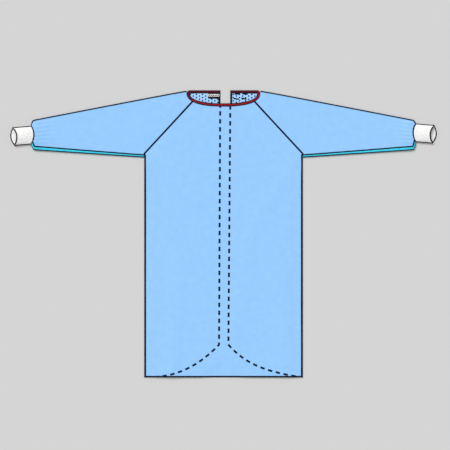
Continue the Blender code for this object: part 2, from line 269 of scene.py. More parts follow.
class ShapeBench(GroupBench):
    """Builds a tree that makes a shape from a mesh."""

    def __init__(self, name: str, sizes: list[str]) -> None:
        """Makes the tree, which takes a mesh, numbers of those names, a seed and a material."""
        super().__init__(name, TreeKind.SHAPE, {
            "Geometry": ["Geometry"], "Float": sizes, "Int": ["Seed"], "Material": ["Material"],
        }, {"Geometry": ["Geometry"]})

    def mark(self, name: str, kind: str) -> NodeSocket:
        """A mark that the mesh carries."""
        return self.out("GeometryNodeInputNamedAttribute", {"Name": name}, data_type=kind)

    def rows(self, unit: NodeSocket, lean: Any = 0.0,
             size: Any = (1.0, 1.0, 1.0)) -> tuple[NodeSocket, NodeSocket]:
        """Stands a shape at even steps along the edges of the mesh.

        Args:
            unit: The shape, with its X to lie along the edges and its Z along the up mark.
            lean: The angle about X that it takes last, after its slant about Z.
            size: Its scale.

        Returns:
            The edges as curves, and the shapes.
        """
        given, align = self.given, "FunctionNodeAlignRotationToVector"
        line = self.out("GeometryNodeMeshToCurve", {"Mesh": given["Geometry"]})
        steps = self.out("GeometryNodeResampleCurve", {"Curve": line, "Length": given["Pitch"]},
                         mode="LENGTH")
        along = self.out(align, {"Vector": self.out("GeometryNodeInputTangent")}, axis="X")
        turn = self.out(align, {"Rotation": along, "Vector": self.mark(UP_MARK, "FLOAT_VECTOR")},
                        axis="Z", pivot_axis="X")
        slant = self.out("FunctionNodeRandomValue", {
            "Min": self.math("SUBTRACT", given["Slant"], given["Jitter"]),
            "Max": self.math("ADD", given["Slant"], given["Jitter"]), "Seed": given["Seed"]})
        for euler in (self.triple(z=slant), self.triple(x=lean)):
            more = self.out("FunctionNodeEulerToRotation", {"Euler": euler})
            turn = self.out("FunctionNodeRotateRotation", {"Rotation": turn, "Rotate By": more},
                            rotation_space="LOCAL")
        smooth = self.out("GeometryNodeSetShadeSmooth", {"Geometry": unit})
        return line, self.out("GeometryNodeInstanceOnPoints", {
            "Points": steps, "Instance": smooth, "Rotation": turn, "Scale": size})

    def close(self, shape: NodeSocket) -> NodeTree:
        """Ends the tree with real meshes instead of instances, and their material.

        Args:
            shape: The finished shape.

        Returns:
            The tree.
        """
        real = self.out("GeometryNodeRealizeInstances", {"Geometry": shape})
        self.feed(self.result["Geometry"], self.out("GeometryNodeSetMaterial", {
            "Geometry": real, "Material": self.given["Material"]}))
        return self.tree


def stitch_tree() -> NodeTree:
    """The tree of a row of stitches on a flat bed of threads, along the edges of a mesh.

    Returns:
        The tree.
    """
    bench = ShapeBench("stitch_row", ["Pitch", "Length", "Width", "Height", "Slant", "Jitter",
                                      "Bed Width", "Bed Height"])
    given = bench.given
    ball = bench.out("GeometryNodeMeshUVSphere", {"Segments": 6, "Rings": 4, "Radius": 0.5})
    size = bench.triple(given["Length"], given["Width"], given["Height"])
    line, stitches = bench.rows(ball, size=size)
    level = bench.out("GeometryNodeSetCurveNormal", {
        "Curve": line, "Normal": bench.mark(UP_MARK, "FLOAT_VECTOR")}, mode="FREE")
    flat = bench.out("GeometryNodeTransform", {
        "Geometry": bench.out("GeometryNodeCurvePrimitiveCircle", {"Resolution": 10,
                                                                   "Radius": 0.5}),
        "Scale": bench.triple(given["Bed Height"], given["Bed Width"], 1.0)})
    bed = bench.out("GeometryNodeCurveToMesh", {"Curve": level, "Profile Curve": flat,
                                                "Fill Caps": True})
    joined = bench.add("GeometryNodeJoinGeometry")
    for part in (stitches, bed):
        bench.feed(joined.inputs[0], part)
    return bench.close(joined.outputs[0])


def curl_tree() -> NodeTree:
    """The tree of a row of thread curls, whole or open, that stand on a line.

    Returns:
        The tree.
    """
    bench = ShapeBench("curl_row", ["Pitch", "Curl Radius", "Thread Radius", "Sweep", "Lean",
                                    "Slant", "Jitter"])
    given = bench.given
    arc = bench.out("GeometryNodeCurveArc", {
        "Resolution": 14, "Radius": given["Curl Radius"], "Start Angle": 0.0,
        "Sweep Angle": given["Sweep"]}, mode="RADIUS")
    ring = bench.out("GeometryNodeCurvePrimitiveCircle", {
        "Resolution": 5, "Radius": given["Thread Radius"]})
    curl = bench.out("GeometryNodeCurveToMesh", {"Curve": arc, "Profile Curve": ring,
                                                 "Fill Caps": True})
    return bench.close(bench.rows(curl, given["Lean"])[1])


def rib_tree() -> NodeTree:
    """The tree that raises the ribs of a knitted tube, by its turn mark.

    Returns:
        The tree.
    """
    bench = ShapeBench("knit_ribs", ["Rib Count", "Rib Depth"])
    given = bench.given
    ribs = bench.math("MULTIPLY", bench.mark(TURN_MARK, "FLOAT"), given["Rib Count"])
    wave = bench.math("ABSOLUTE", bench.math("COSINE", bench.math("MULTIPLY", ribs, math.pi)))
    depth = bench.math("MULTIPLY", given["Rib Depth"], bench.mark(FADE_MARK, "FLOAT"))
    lift = bench.math("MULTIPLY", bench.math("SUBTRACT", wave, 1.0), depth)
    offset = bench.out("ShaderNodeVectorMath", {
        "Vector": bench.out("GeometryNodeInputNormal"), "Scale": lift}, operation="SCALE")
    ribbed = bench.out("GeometryNodeSetPosition", {"Geometry": given["Geometry"],
                                                   "Offset": offset})
    return bench.close(bench.out("GeometryNodeSetShadeSmooth", {"Geometry": ribbed}))


def stand(name: str, data: Any) -> Object:
    """Puts a new object with that data in the scene.

    Args:
        name: The object's name.
        data: Its mesh, lamp or camera.

    Returns:
        The object.
    """
    thing = bpy.data.objects.new(name, data)
    bpy.context.scene.collection.objects.link(thing)
    return thing


def bake_tree(name: str, source: Mesh, tree: NodeTree, values: dict[str, Any]) -> Mesh:
    """Runs a shape tree on a mesh.

    Args:
        name: The name of the new mesh.
        source: The mesh that the tree starts from, which is removed.
        tree: The tree.
        values: A value for each of its named inputs.

    Returns:
        The finished plain mesh.
    """
    holder = stand(name, source)
    modifier = holder.modifiers.new("Rows", "NODES")
    modifier.node_group = tree
    for item in tree.interface.items_tree:
        if item.in_out == "INPUT" and item.name in values:
            modifier[item.identifier] = values[item.name]
    graph = bpy.context.evaluated_depsgraph_get()
    mesh = bpy.data.meshes.new_from_object(holder.evaluated_get(graph), depsgraph=graph)
    bpy.data.objects.remove(holder)
    bpy.data.meshes.remove(source)
    mesh.name = name
    return mesh


def line_mesh(name: str, lines: Sequence[Line]) -> Mesh:
    """A mesh of edges only, which a shape tree follows.

    Args:
        name: The mesh's name.
        lines: Each line's points, with the direction that is up there.

    Returns:
        The mesh, with the directions in its up mark.
    """
    points, edges = [], []
    for line in lines:
        edges += [(i, i + 1) for i in range(len(points), len(points) + len(line) - 1)]
        points += line
    mesh = bpy.data.meshes.new(name)
    mesh.from_pydata([spot for spot, _ in points], edges, [])
    mark = mesh.attributes.new(UP_MARK, "FLOAT_VECTOR", "POINT")
    mark.data.foreach_set("vector", [part for _, up in points for part in up])
    return mesh


def cut_layout(points: Sequence[Sequence[Vector]], level: int | None) -> list[list[Values]]:
    """Lays a grid of cloth out flat, in metres.

    Args:
        points: The grid's rows of points.
        level: The last place in each row that lies in the layer seen from above, which is
            laid out as it is seen. The cloth goes on round the fold from there. With no such
            place the cloth is laid out as a straight strip.

    Returns:
        The rows of points of the layout.
    """
    if level is None:
        widths = running_length(points[len(points) // 2])
        lengths = running_length([row[len(row) // 2] for row in points])
        return [[(width, length) for width in widths] for length in lengths]
    laid = []
    for row in points:
        reach = running_length(row)
        laid.append([(point.x, point.y if index <= level else
                      row[level].y + reach[level] - reach[index])
                     for index, point in enumerate(row)])
    return laid


def cloth_mesh(name: str, across: Values, along: Values, place: Place, level: int | None = None,
               tube: bool = False, marks: Sequence[str] = (),
               measure: Callable[[float, float, Vector], Values] | None = None) -> Mesh:
    """A grid of cloth with one vertex for each pair of values.

    Args:
        name: The mesh's name.
        across: The values across the cloth.
        along: The values along it.
        place: Gives the point of a pair of values.
        level: How the cloth is laid out, as cut_layout has it.
        tube: Whether the first and last values across are the same line, to be joined.
        marks: The names of the numbers to keep at each vertex.
        measure: Gives those numbers from the vertex's two values and its point.

    Returns:
        The mesh, facing up or outwards, with the cut's metres as its UV map.
    """
    grid = bmesh.new()
    columns, rows = len(across) - 1, len(along) - 1
    bmesh.ops.create_grid(grid, x_segments=columns, y_segments=rows, size=0.5)
    cut = grid.loops.layers.uv.new(CUT_MAP)
    for mark in marks:
        grid.verts.layers.float.new(mark)
    layers = [grid.verts.layers.float[mark] for mark in marks]
    points = [[place(value, station) for value in across] for station in along]
    laid = cut_layout(points, level)
    spots = {}
    for vertex in grid.verts:
        column = round((vertex.co.x + 0.5) * columns)
        row = round((vertex.co.y + 0.5) * rows)
        vertex.co = points[row][column]
        spots[vertex] = laid[row][column]
        if measure:
            for layer, value in zip(layers, measure(across[column], along[row], vertex.co)):
                vertex[layer] = value
    for face in grid.faces:
        for loop in face.loops:
            loop[cut].uv = spots[loop.vert]
    grid.normal_update()
    grid.faces.ensure_lookup_table()
    if grid.faces[0].normal.z < 0:
        bmesh.ops.reverse_faces(grid, faces=grid.faces)
    if tube:
        bmesh.ops.remove_doubles(grid, verts=grid.verts, dist=1e-6)
    mesh = bpy.data.meshes.new(name)
    grid.to_mesh(mesh)
    grid.free()
    mesh.shade_smooth()
    return mesh


def show(mesh: Mesh, slot: Slot, wall: float = 0.0) -> Object:
    """Makes one visible piece of the gown, named as its mesh.

    Args:
        mesh: The mesh, with its place and materials in it.
        slot: Not used.
        wall: The thickness to give it on its inner side, which takes the last material, or
            0 for none.

    Returns:
        The piece.
    """
    piece = stand(mesh.name, mesh)
    if wall:
        modifier = piece.modifiers.new("Wall", "SOLIDIFY")
        modifier.thickness = wall
        modifier.offset = -1.0
        modifier.material_offset = len(mesh.materials) - 1
    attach(piece, BODY)
    log.info("%s: %d faces", mesh.name, len(mesh.polygons))
    return piece


def show_sheet(mesh: Mesh, slot: Slot, wall: float, node: str, materials: Sequence[Material],
               flat: Values | None = None, **cut: Any) -> None:
    """Makes a visible piece of cloth that stands for a solid.

    Args:
        mesh: The mesh of its face.
        slot: Not used.
        wall: Its thickness.
        node: The solid.
        materials: The material of its face, and that of its inner side if it differs.
        flat: Not used.
    """
    for material in materials:
        mesh.materials.append(material)
    piece = show(mesh, slot, wall)
    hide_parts(node)


def staggered_dots() -> NodeTree:
    """The group of round dots on a lattice and at the middle of its cells.

    Returns:
        The group.
    """
    bench = GroupBench("staggered_dots", TreeKind.SHADE, {
        "Vector": ["Vector"], "Float": ["Pitch X", "Pitch Y", "Radius", "Softness"],
    }, {"Float": ["Mask"]})
    given = bench.given
    pitch = bench.triple(given["Pitch X"], given["Pitch Y"], 1.0)
    cells = bench.vector("DIVIDE", given["Vector"], pitch)
    reaches = []
    for shift in (0.0, 0.5):
        inside = bench.vector("FRACTION", bench.vector("ADD", cells, (shift, shift, 0.0)))
        sized = bench.vector("MULTIPLY", bench.vector("SUBTRACT", inside, (0.5, 0.5, 0.0)), pitch)
        reaches.append(bench.vector("LENGTH", bench.vector("MULTIPLY", sized, (1.0, 1.0, 0.0))))
    inner = bench.math("SUBTRACT", given["Radius"], given["Softness"])
    outer = bench.math("ADD", given["Radius"], given["Softness"])
    mask = bench.step(bench.math("MINIMUM", *reaches), inner, outer, 1.0, 0.0)
    bench.feed(bench.result["Mask"], mask)
    return bench.tree


def loose_fibres() -> NodeTree:
    """The group with the clouding of a web of fibres, and the fibres themselves.

    Returns:
        The group.
    """
    bench = GroupBench("loose_fibres", TreeKind.SHADE, {
        "Vector": ["Vector"], "Float": ["Cloud Size", "Fibre Size"],
    }, {"Float": ["Cloud", "Fibre"]})
    clouds, fibres = (bench.out("ShaderNodeTexNoise", {
        "Vector": bench.given["Vector"], "Scale": bench.math("DIVIDE", 1.0, bench.given[size]),
        "Detail": detail, "Roughness": roughness, "Distortion": distortion})
        for size, detail, roughness, distortion in (("Cloud Size", 4.0, 0.6, 0.0),
                                                    ("Fibre Size", 3.0, 0.7, 2.5)))
    bench.feed(bench.result["Cloud"], bench.step(clouds, 0.3, 0.7))
    bench.feed(bench.result["Fibre"], fibres)
    return bench.tree


def plain_weave() -> NodeTree:
    """The group of threads that pass over and under each other, as a height.

    Returns:
        The group.
    """
    bench = GroupBench("plain_weave", TreeKind.SHADE, {"Vector": ["Vector"], "Float": ["Pitch"]},
                       {"Float": ["Height"]})
    parts = bench.add("ShaderNodeSeparateXYZ", {"Vector": bench.given["Vector"]}).outputs
    turns = [bench.math("DIVIDE", parts[axis], bench.given["Pitch"]) for axis in ("X", "Y")]
    over = bench.math("MULTIPLY", *(
        bench.math("SINE", bench.math("MULTIPLY", turn, math.pi)) for turn in turns))
    height = bench.math("ADD", bench.math("MULTIPLY", over, 0.5), 0.5)
    bench.feed(bench.result["Height"], height)
    return bench.tree


@dataclass
class ShadeGroups:
    """Effects that several materials use, each a node group with named sockets."""

    dots: NodeTree = field(default_factory=staggered_dots)
    fibres: NodeTree = field(default_factory=loose_fibres)
    weave: NodeTree = field(default_factory=plain_weave)


def new_material(name: str, **numbers: Any) -> tuple[Material, Node]:
    """A new material.

    Args:
        name: Its name.
        **numbers: What is the same all over it, such as Sheen_Weight=0.1.

    Returns:
        The material and its shader.
    """
    material = bpy.data.materials.new(name)
    material.use_nodes = True
    shader = material.node_tree.nodes["Principled BSDF"]
    for label, value in numbers.items():
        shader.inputs[label.replace("_", " ")].default_value = value
    return material, shader


class Surface(NodeBench):
    """A material under construction, with the effects that several of them use."""

    def __init__(self, name: str, groups: ShadeGroups, **numbers: float) -> None:
        """Makes the material.

        Args:
            name: Its name.
            groups: The shared groups.
            **numbers: What is the same all over it.
        """
        self.material, self.shader = new_material(name, **numbers)
        self.groups = groups
        super().__init__(self.material.node_tree)

    def cut(self) -> NodeSocket:
        """The metres of the cut that the cloth came from."""
        return self.out("ShaderNodeUVMap", uv_map=CUT_MAP)

    def spot(self) -> NodeSocket:
        """The place on the gown, in metres."""
        return self.add("ShaderNodeTexCoord").outputs["Object"]

    def fibres(self, vector: NodeSocket, cloud: float, fibre: float) -> list[NodeSocket]:
        """The clouding and the fibres of a web, from the sizes of both."""
        sizes = {"Vector": vector, "Cloud Size": cloud, "Fibre Size": fibre}
        return list(self.add("ShaderNodeGroup", sizes, node_tree=self.groups.fibres).outputs)

    def dots(self, vector: NodeSocket, pitch: Values, radius: float, soft: float) -> NodeSocket:
        """The mask of staggered dots."""
        sizes = {"Pitch X": pitch[0], "Pitch Y": pitch[1], "Radius": radius, "Softness": soft}
        return self.out("ShaderNodeGroup", {"Vector": vector, **sizes}, node_tree=self.groups.dots)

    def finish(self, colour: NodeSocket, roughness: NodeSocket, height: NodeSocket,
               relief: float) -> Material:
        """Links what changes over the surface.

        Args:
            colour: The colour.
            roughness: The roughness.
            height: A height from 0 to 1.
            relief: How high 1 is, in metres.

        Returns:
            The finished material.
        """
        bump = self.out("ShaderNodeBump", {"Height": height, "Distance": relief, "Strength": 1.0})
        for name, value in (("Base Color", colour), ("Roughness", roughness), ("Normal", bump)):
            self.feed(self.shader.inputs[name], value)
        return self.material


@dataclass(frozen=True)
class HiddenEdge:
    """The stitched edges under a cloth that show through it as dashes."""

    colour: Colour = NAVY
    strength: float = 0.995
    half_width: float = 0.0045
    softness: float = 0.0007
    period: float = 0.03475
    share: float = 0.57

    def over(self, made: Surface, colour: NodeSocket) -> NodeSocket:
        """Adds the dashes where a stitched edge shows through.

        Args:
            made: The material under construction.
            colour: The colour without them.

        Returns:
            The colour with them.
        """
        across, along = (made.add("ShaderNodeAttribute", attribute_name=name).outputs["Fac"]
                         for name in (ACROSS_MARK, ALONG_MARK))
        near = made.step(made.math("ABSOLUTE", across), self.half_width - self.softness,
                         self.half_width + self.softness, 1.0, 0.0)
        phase = made.math("FRACT", made.math("DIVIDE", along, self.period))
        middle = made.math("ABSOLUTE", made.math("SUBTRACT", phase, 0.5))
        soft = self.softness / self.period
        dash = made.step(middle, self.share / 2 - soft, self.share / 2 + soft, 1.0, 0.0)
        share = made.math("MULTIPLY", made.math("MULTIPLY", near, dash), self.strength)
        return made.tint(share, colour, self.colour)


@dataclass(frozen=True)
class InnerDots:
    """The staggered dots of the cloth's inner face."""

    colour: Colour = NAVY
    strength: float = 0.97
    shift: Triple = (-0.0024, 0.0069, 0.0)
    pitch: Pair = (0.0268, 0.0138)
    radius: float = 0.0035
    softness: float = 0.0005

    def over(self, made: Surface, colour: NodeSocket) -> NodeSocket:
        """The colour with the dots, from the colour without them."""
        moved = made.vector("ADD", made.spot(), self.shift)
        return made.tint(made.math("MULTIPLY", made.dots(
            moved, self.pitch, self.radius, self.softness), self.strength), colour, self.colour)


@dataclass(frozen=True)
class Finish:
    """What every finish states, and the clouds that each has.

    The web is the sizes of its clouds and fibres. Its deeper and paler clouds are the colour
    times a factor, and the paler ones are raised too. A relief of 1 is so many metres high.
    """

    name: str
    colour: Colour
    groups: ShadeGroups
    web: Pair = (0.030, 0.0012)
    deeper: float = 0.97
    paler: Pair = (1.03, 0.0)
    roughness: Pair = (0.78, 0.60)
    relief: float = 0.00016

    def clouds(self, made: Surface, place: NodeSocket) -> tuple[NodeSocket, ...]:
        """The clouded colour, the mask of the clouds and the fibres."""
        cloud, fibre = made.fibres(place, *self.web)
        return made.tint(cloud, shaded(self.colour, self.deeper),
                         shaded(self.colour, *self.paler)), cloud, fibre


@dataclass(frozen=True)
class NonwovenFinish(Finish):
    """Thin cloth of bonded fibres, with its pattern of bond points."""

    bond_pitch: float = 0.0026
    bond_radius: float = 0.00055
    bond_softness: float = 0.00018
    bond_shade: float = 0.86
    bond_strength: float = 0.7
    bond_depth: float = 0.8
    fibre_height: float = 0.6
    prints: tuple[HiddenEdge | InnerDots, ...] = ()

    def material(self) -> Material:
        """Builds the material.

        Returns:
            The material of one side of the cloth.
        """
        made = Surface(self.name, self.groups, Sheen_Weight=0.01, Sheen_Roughness=0.5,
                       Specular_IOR_Level=0.05)
        cut = made.cut()
        colour, _, fibre = self.clouds(made, cut)
        bond = made.dots(cut, (self.bond_pitch, self.bond_pitch), self.bond_radius,
                         self.bond_softness)
        colour = made.tint(made.math("MULTIPLY", bond, self.bond_strength), colour,
                           shaded(self.colour, self.bond_shade))
        for mark in self.prints:
            colour = mark.over(made, colour)
        height = made.math("SUBTRACT", made.math("MULTIPLY", fibre, self.fibre_height),
                           made.math("MULTIPLY", bond, self.bond_depth))
        return made.finish(colour, made.step(bond, 0.0, 1.0, *self.roughness), height, self.relief)


@dataclass(frozen=True)
class KnitFinish(Finish):
    """Ribbed knit, with the courses of its stitches and painted shade in the gaps between them."""

    web: Pair = (0.012, 0.0008)
    deeper: float = 0.96
    paler: Pair = (1.0, 0.0)
    roughness: Pair = (0.84, 0.92)
    relief: float = 0.0003
    course: float = 0.0013
    wale: float = 0.0015
    # The painted shade of the gaps: how high up it reaches, how dark it is and how much of it there
    # is.
    gap_top: float = 0.45
    gap_shade: float = 0.86
    gap_strength: float = 0.6

    def material(self) -> Material:
        """Builds the material.

        Returns:
            The knit's material.
        """
        made = Surface(self.name, self.groups, Sheen_Weight=0.25, Sheen_Roughness=0.6,
                       Specular_IOR_Level=0.2)
        cut = made.cut()
        parts = made.add("ShaderNodeSeparateXYZ", {"Vector": cut}).outputs
        slanted = made.math("ADD", parts["Y"], made.math("PINGPONG", parts["X"], self.wale / 2))
        turns = made.math("DIVIDE", slanted, self.course)
        wave = made.math("SINE", made.math("MULTIPLY", turns, math.tau))
        height = made.math("ADD", made.math("MULTIPLY", wave, 0.5), 0.5)
        colour, cloud, _ = self.clouds(made, cut)
        # Painted shade: the colour is darkened in the low gaps between courses, where shade would
        # fall.
        colour = made.tint(made.step(height, 0.0, self.gap_top, self.gap_strength, 0.0), colour,
                           shaded(self.colour, self.gap_shade))
        return made.finish(colour, made.step(cloud, 0.0, 1.0, *self.roughness), height, self.relief)


@dataclass(frozen=True)
class FilmFinish(Finish):
    """Heat-sealed film tape with the cloth's bond points pressed through it."""

    web: Pair = (0.018, 0.003)
    deeper: float = 0.86
    paler: Pair = (1.12, 0.02)
    roughness: Pair = (0.42, 0.30)
    relief: float = 0.00010
    coat: Pair = (0.2, 0.45)
    bond_pitch: float = 0.0026
    bond_radius: float = 0.0006
    bond_softness: float = 0.0003

    def material(self) -> Material:
        """Builds the material.

        Returns:
            The tape's material.
        """
        made = Surface(self.name, self.groups, Specular_IOR_Level=0.5, Coat_Roughness=0.15)
        cut = made.cut()
        colour, cloud, fibre = self.clouds(made, cut)
        bond = made.dots(cut, (self.bond_pitch, self.bond_pitch), self.bond_radius,
                         self.bond_softness)
        height = made.math("MULTIPLY", made.math("ADD", fibre, bond), 0.5)
        made.feed(made.shader.inputs["Coat Weight"], made.step(cloud, 0.0, 1.0, *self.coat))
        return made.finish(colour, made.step(cloud, 0.0, 1.0, *self.roughness), height, self.relief)


@dataclass(frozen=True)
class WovenFinish(Finish):
    """Plain woven tape for the neck binding and the base of the fastener; its hollows get painted
    shade.
    """

    web: Pair = (0.010, 0.0006)
    deeper: float = 1.0
    paler: Pair = (1.15, 0.004)
    roughness: Pair = (0.9, 0.8)
    relief: float = 0.00018
    pitch: float = 0.0008
    # The painted shade of the hollows: the heights it spans, how dark it is and how much of it
    # there is.
    gap_ends: Pair = (0.1, 0.6)
    gap_shade: float = 0.72
    gap_strength: float = 0.7

    def material(self) -> Material:
        """Builds the material.

        Returns:
            The tape's material.
        """
        made = Surface(self.name, self.groups, Sheen_Weight=0.02, Sheen_Roughness=0.5,
                       Specular_IOR_Level=0.12)
        cut = made.cut()
        height = made.out("ShaderNodeGroup", {"Vector": cut, "Pitch": self.pitch},
                          node_tree=self.groups.weave)
        colour, _, _ = self.clouds(made, cut)
        # Painted shade: the colour is darkened where the threads dip, where shade would fall.
        colour = made.tint(made.step(height, *self.gap_ends, self.gap_strength, 0.0), colour,
                           shaded(self.colour, self.gap_shade))
        return made.finish(colour, made.step(height, 0.0, 1.0, *self.roughness), height,
                           self.relief)


@dataclass(frozen=True)
class ThreadFinish(Finish):
    """Spun thread with its twist."""

    web: Pair = (0.006, 0.0006)
    deeper: float = 0.7
    paler: Pair = (1.25, 0.003)
    roughness: Pair = (0.65, 0.77)
    relief: float = 0.00008
    twist: float = 0.0007
    unevenness: float = 1.5

    def material(self) -> Material:
        """Builds the material.

        Returns:
            The thread's material.
        """
        made = Surface(self.name, self.groups, Specular_IOR_Level=0.08)
        spot = made.spot()
        colour, cloud, _ = self.clouds(made, spot)
        strands = made.add("ShaderNodeTexWave", {
            "Vector": spot, "Scale": math.tau / (WAVE_RATE * self.twist),
            "Distortion": self.unevenness, "Detail": 1.0}, bands_direction="DIAGONAL")
        return made.finish(colour, made.step(cloud, 0.0, 1.0, *self.roughness),
                           strands.outputs["Fac"], self.relief)


@dataclass(frozen=True)
class StitchKind:
    """The sizes of one kind of stitch row."""

    pitch: float
    length: float
    width: float
    height: float
    slant: float
    bed_width: float
    bed_height: float
    jitter: float = 4.0
    seed: int = 11


@dataclass(frozen=True)
class CurlKind:
    """The sizes of one kind of curl, how many rows it stands in and how far inside the strip."""

    pitch: float
    curl_radius: float
    thread_radius: float
    sweep: float
    lean: float
    jitter: float
    seed: int
    rows: int
    margin: float
    slant: float = 0.0


class Stitch(Enum):
    """The kinds of stitch row on the gown."""

    SIDE_OVERLOCK = StitchKind(0.0024, 0.0100, 0.0017, 0.0011, 76, 0.0094, 0.0005)
    EDGE_OVERLOCK = StitchKind(0.0024, 0.0034, 0.0016, 0.0012, 84, 0.0030, 0.0010)
    HEM_OVERLOCK = StitchKind(0.0024, 0.0070, 0.0016, 0.0011, 76, 0.0064, 0.0005)
    SEAM_OVERLOCK = StitchKind(0.0023, 0.0086, 0.0016, 0.0012, 70, 0.0080, 0.0006)
    BACK_OVERLOCK = StitchKind(0.0024, 0.0104, 0.0016, 0.0022, 78, 0.0097, 0.0018)
    TOP_SEAM = StitchKind(0.0023, 0.0066, 0.0015, 0.0012, 70, 0.0060, 0.0007)
    SLEEVE_END = StitchKind(0.0020, 0.0070, 0.0015, 0.0016, 72, 0.0064, 0.0011)
    TAPE_TOP = StitchKind(0.0022, 0.0066, 0.0015, 0.0012, 68, 0.0060, 0.0007)
    TAPE_EDGE = StitchKind(0.0022, 0.0060, 0.0015, 0.0012, 66, 0.0053, 0.0007)
    BINDING_FRONT = StitchKind(0.0020, 0.0047, 0.0013, 0.0012, 66, 0.0040, 0.0007)
    BINDING_BACK = StitchKind(0.0020, 0.0061, 0.0013, 0.0012, 72, 0.0055, 0.0007)
    CUFF_SEAM = StitchKind(0.0017, 0.0054, 0.0013, 0.0013, 68, 0.0048, 0.0008)
    CUFF_MOUTH = StitchKind(0.0018, 0.0066, 0.0015, 0.0028, 78, 0.0062, 0.0024)
    BAR_TACK = StitchKind(0.0013, 0.0068, 0.0012, 0.0011, 84, 0.0062, 0.0006)


class Curl(Enum):
    """The kinds of curl row on the fastener."""

    LOOP_PILE = CurlKind(0.0022, 0.0011, 0.00018, 358, 62, 60, 5, 11, 0.0016)
    LOOP_YARN = CurlKind(0.0088, 0.0046, 0.0018, 358, 12, 20, 3, 1, 0.0060)
    HOOK_PILE = CurlKind(0.0020, 0.0005, 0.00015, 250, 88, 12, 9, 12, 0.0020)


def row_sizes(kind: Stitch | Curl) -> dict[str, float]:
    """The sizes of a kind of row, by the names of its tree's inputs."""
    return {name.replace("_", " ").title(): math.radians(value) if name in ANGLES else value
            for name, value in vars(kind.value).items()}


@dataclass
class Wardrobe:
    """All the materials and the stitching that the gown's pieces share."""

    groups: ShadeGroups = field(default_factory=ShadeGroups)
    stitches: NodeTree = field(default_factory=stitch_tree)
    cloth_colour: Colour = (0.300, 0.575, 0.960)
    inner_colour: Colour = (0.370, 0.635, 0.980)

    def __post_init__(self) -> None:
        """Builds the materials."""
        groups = self.groups
        self.front = NonwovenFinish("front_cloth", self.cloth_colour, groups,
                                    prints=(HiddenEdge(),)).material()
        self.cloth = NonwovenFinish("gown_cloth", self.cloth_colour, groups).material()
        self.inner = NonwovenFinish("inner_cloth", self.inner_colour, groups,
                                    prints=(InnerDots(),)).material()
        self.knit = KnitFinish("cuff_knit", (0.99, 0.99, 0.985), groups).material()
        self.tape = FilmFinish("seam_tape", (0.012, 0.58, 0.80), groups).material()
        self.binding = WovenFinish("neck_tape", (0.30, 0.005, 0.008), groups).material()
        self.patch = WovenFinish("fastener_tape", (0.008, 0.008, 0.012), groups,
                                 pitch=0.0006).material()
        self.navy, self.grey, self.cream, self.black = (
            ThreadFinish(name, colour, groups).material() for name, colour in (
                ("navy_thread", NAVY), ("cuff_thread", (0.005, 0.005, 0.007)),
                ("loop_thread", (0.97, 0.95, 0.90)), ("pile_thread", (0.010, 0.010, 0.014))))

    def sew(self, name: str, kind: Stitch, lines: Sequence[Line], slot: Slot = Slot.CLOTH,
            thread: Material | None = None) -> None:
        """Sews a row along each line, as one piece, with the dark blue thread or another."""
        values = {**row_sizes(kind), "Material": thread or self.navy}
        show(bake_tree(name, line_mesh(name, lines), self.stitches, values), slot)


@dataclass(frozen=True)
class Section:
    """The heights of a flattened tube at one station of its length."""

    station: float
    edge_height: float
    crown: float
    gather: float
    crowding: float

    def toward(self, other: "Section", station: float) -> "Section":
        """The section at a station between this one and another."""
        share = (station - self.station) / (other.station - self.station)
        return Section(*(a + (b - a) * share for a, b in zip(vars(self).values(),
                                                             vars(other).values())))


def fold_side(turn: float) -> tuple[int, float]:
    """Which fold a turn is on, 1 for the lower and 0 for the top one, and its angle there."""
    return (1, math.pi * (1.5 - turn)) if turn < 2 else (0, math.pi * (turn - 3.5))


def fold_normal(fold: int, angle: float) -> Vector:
    """The direction out of a fold at an angle above level."""
    return Vector((0, (1 - 2 * fold) * math.cos(angle), math.sin(angle)))


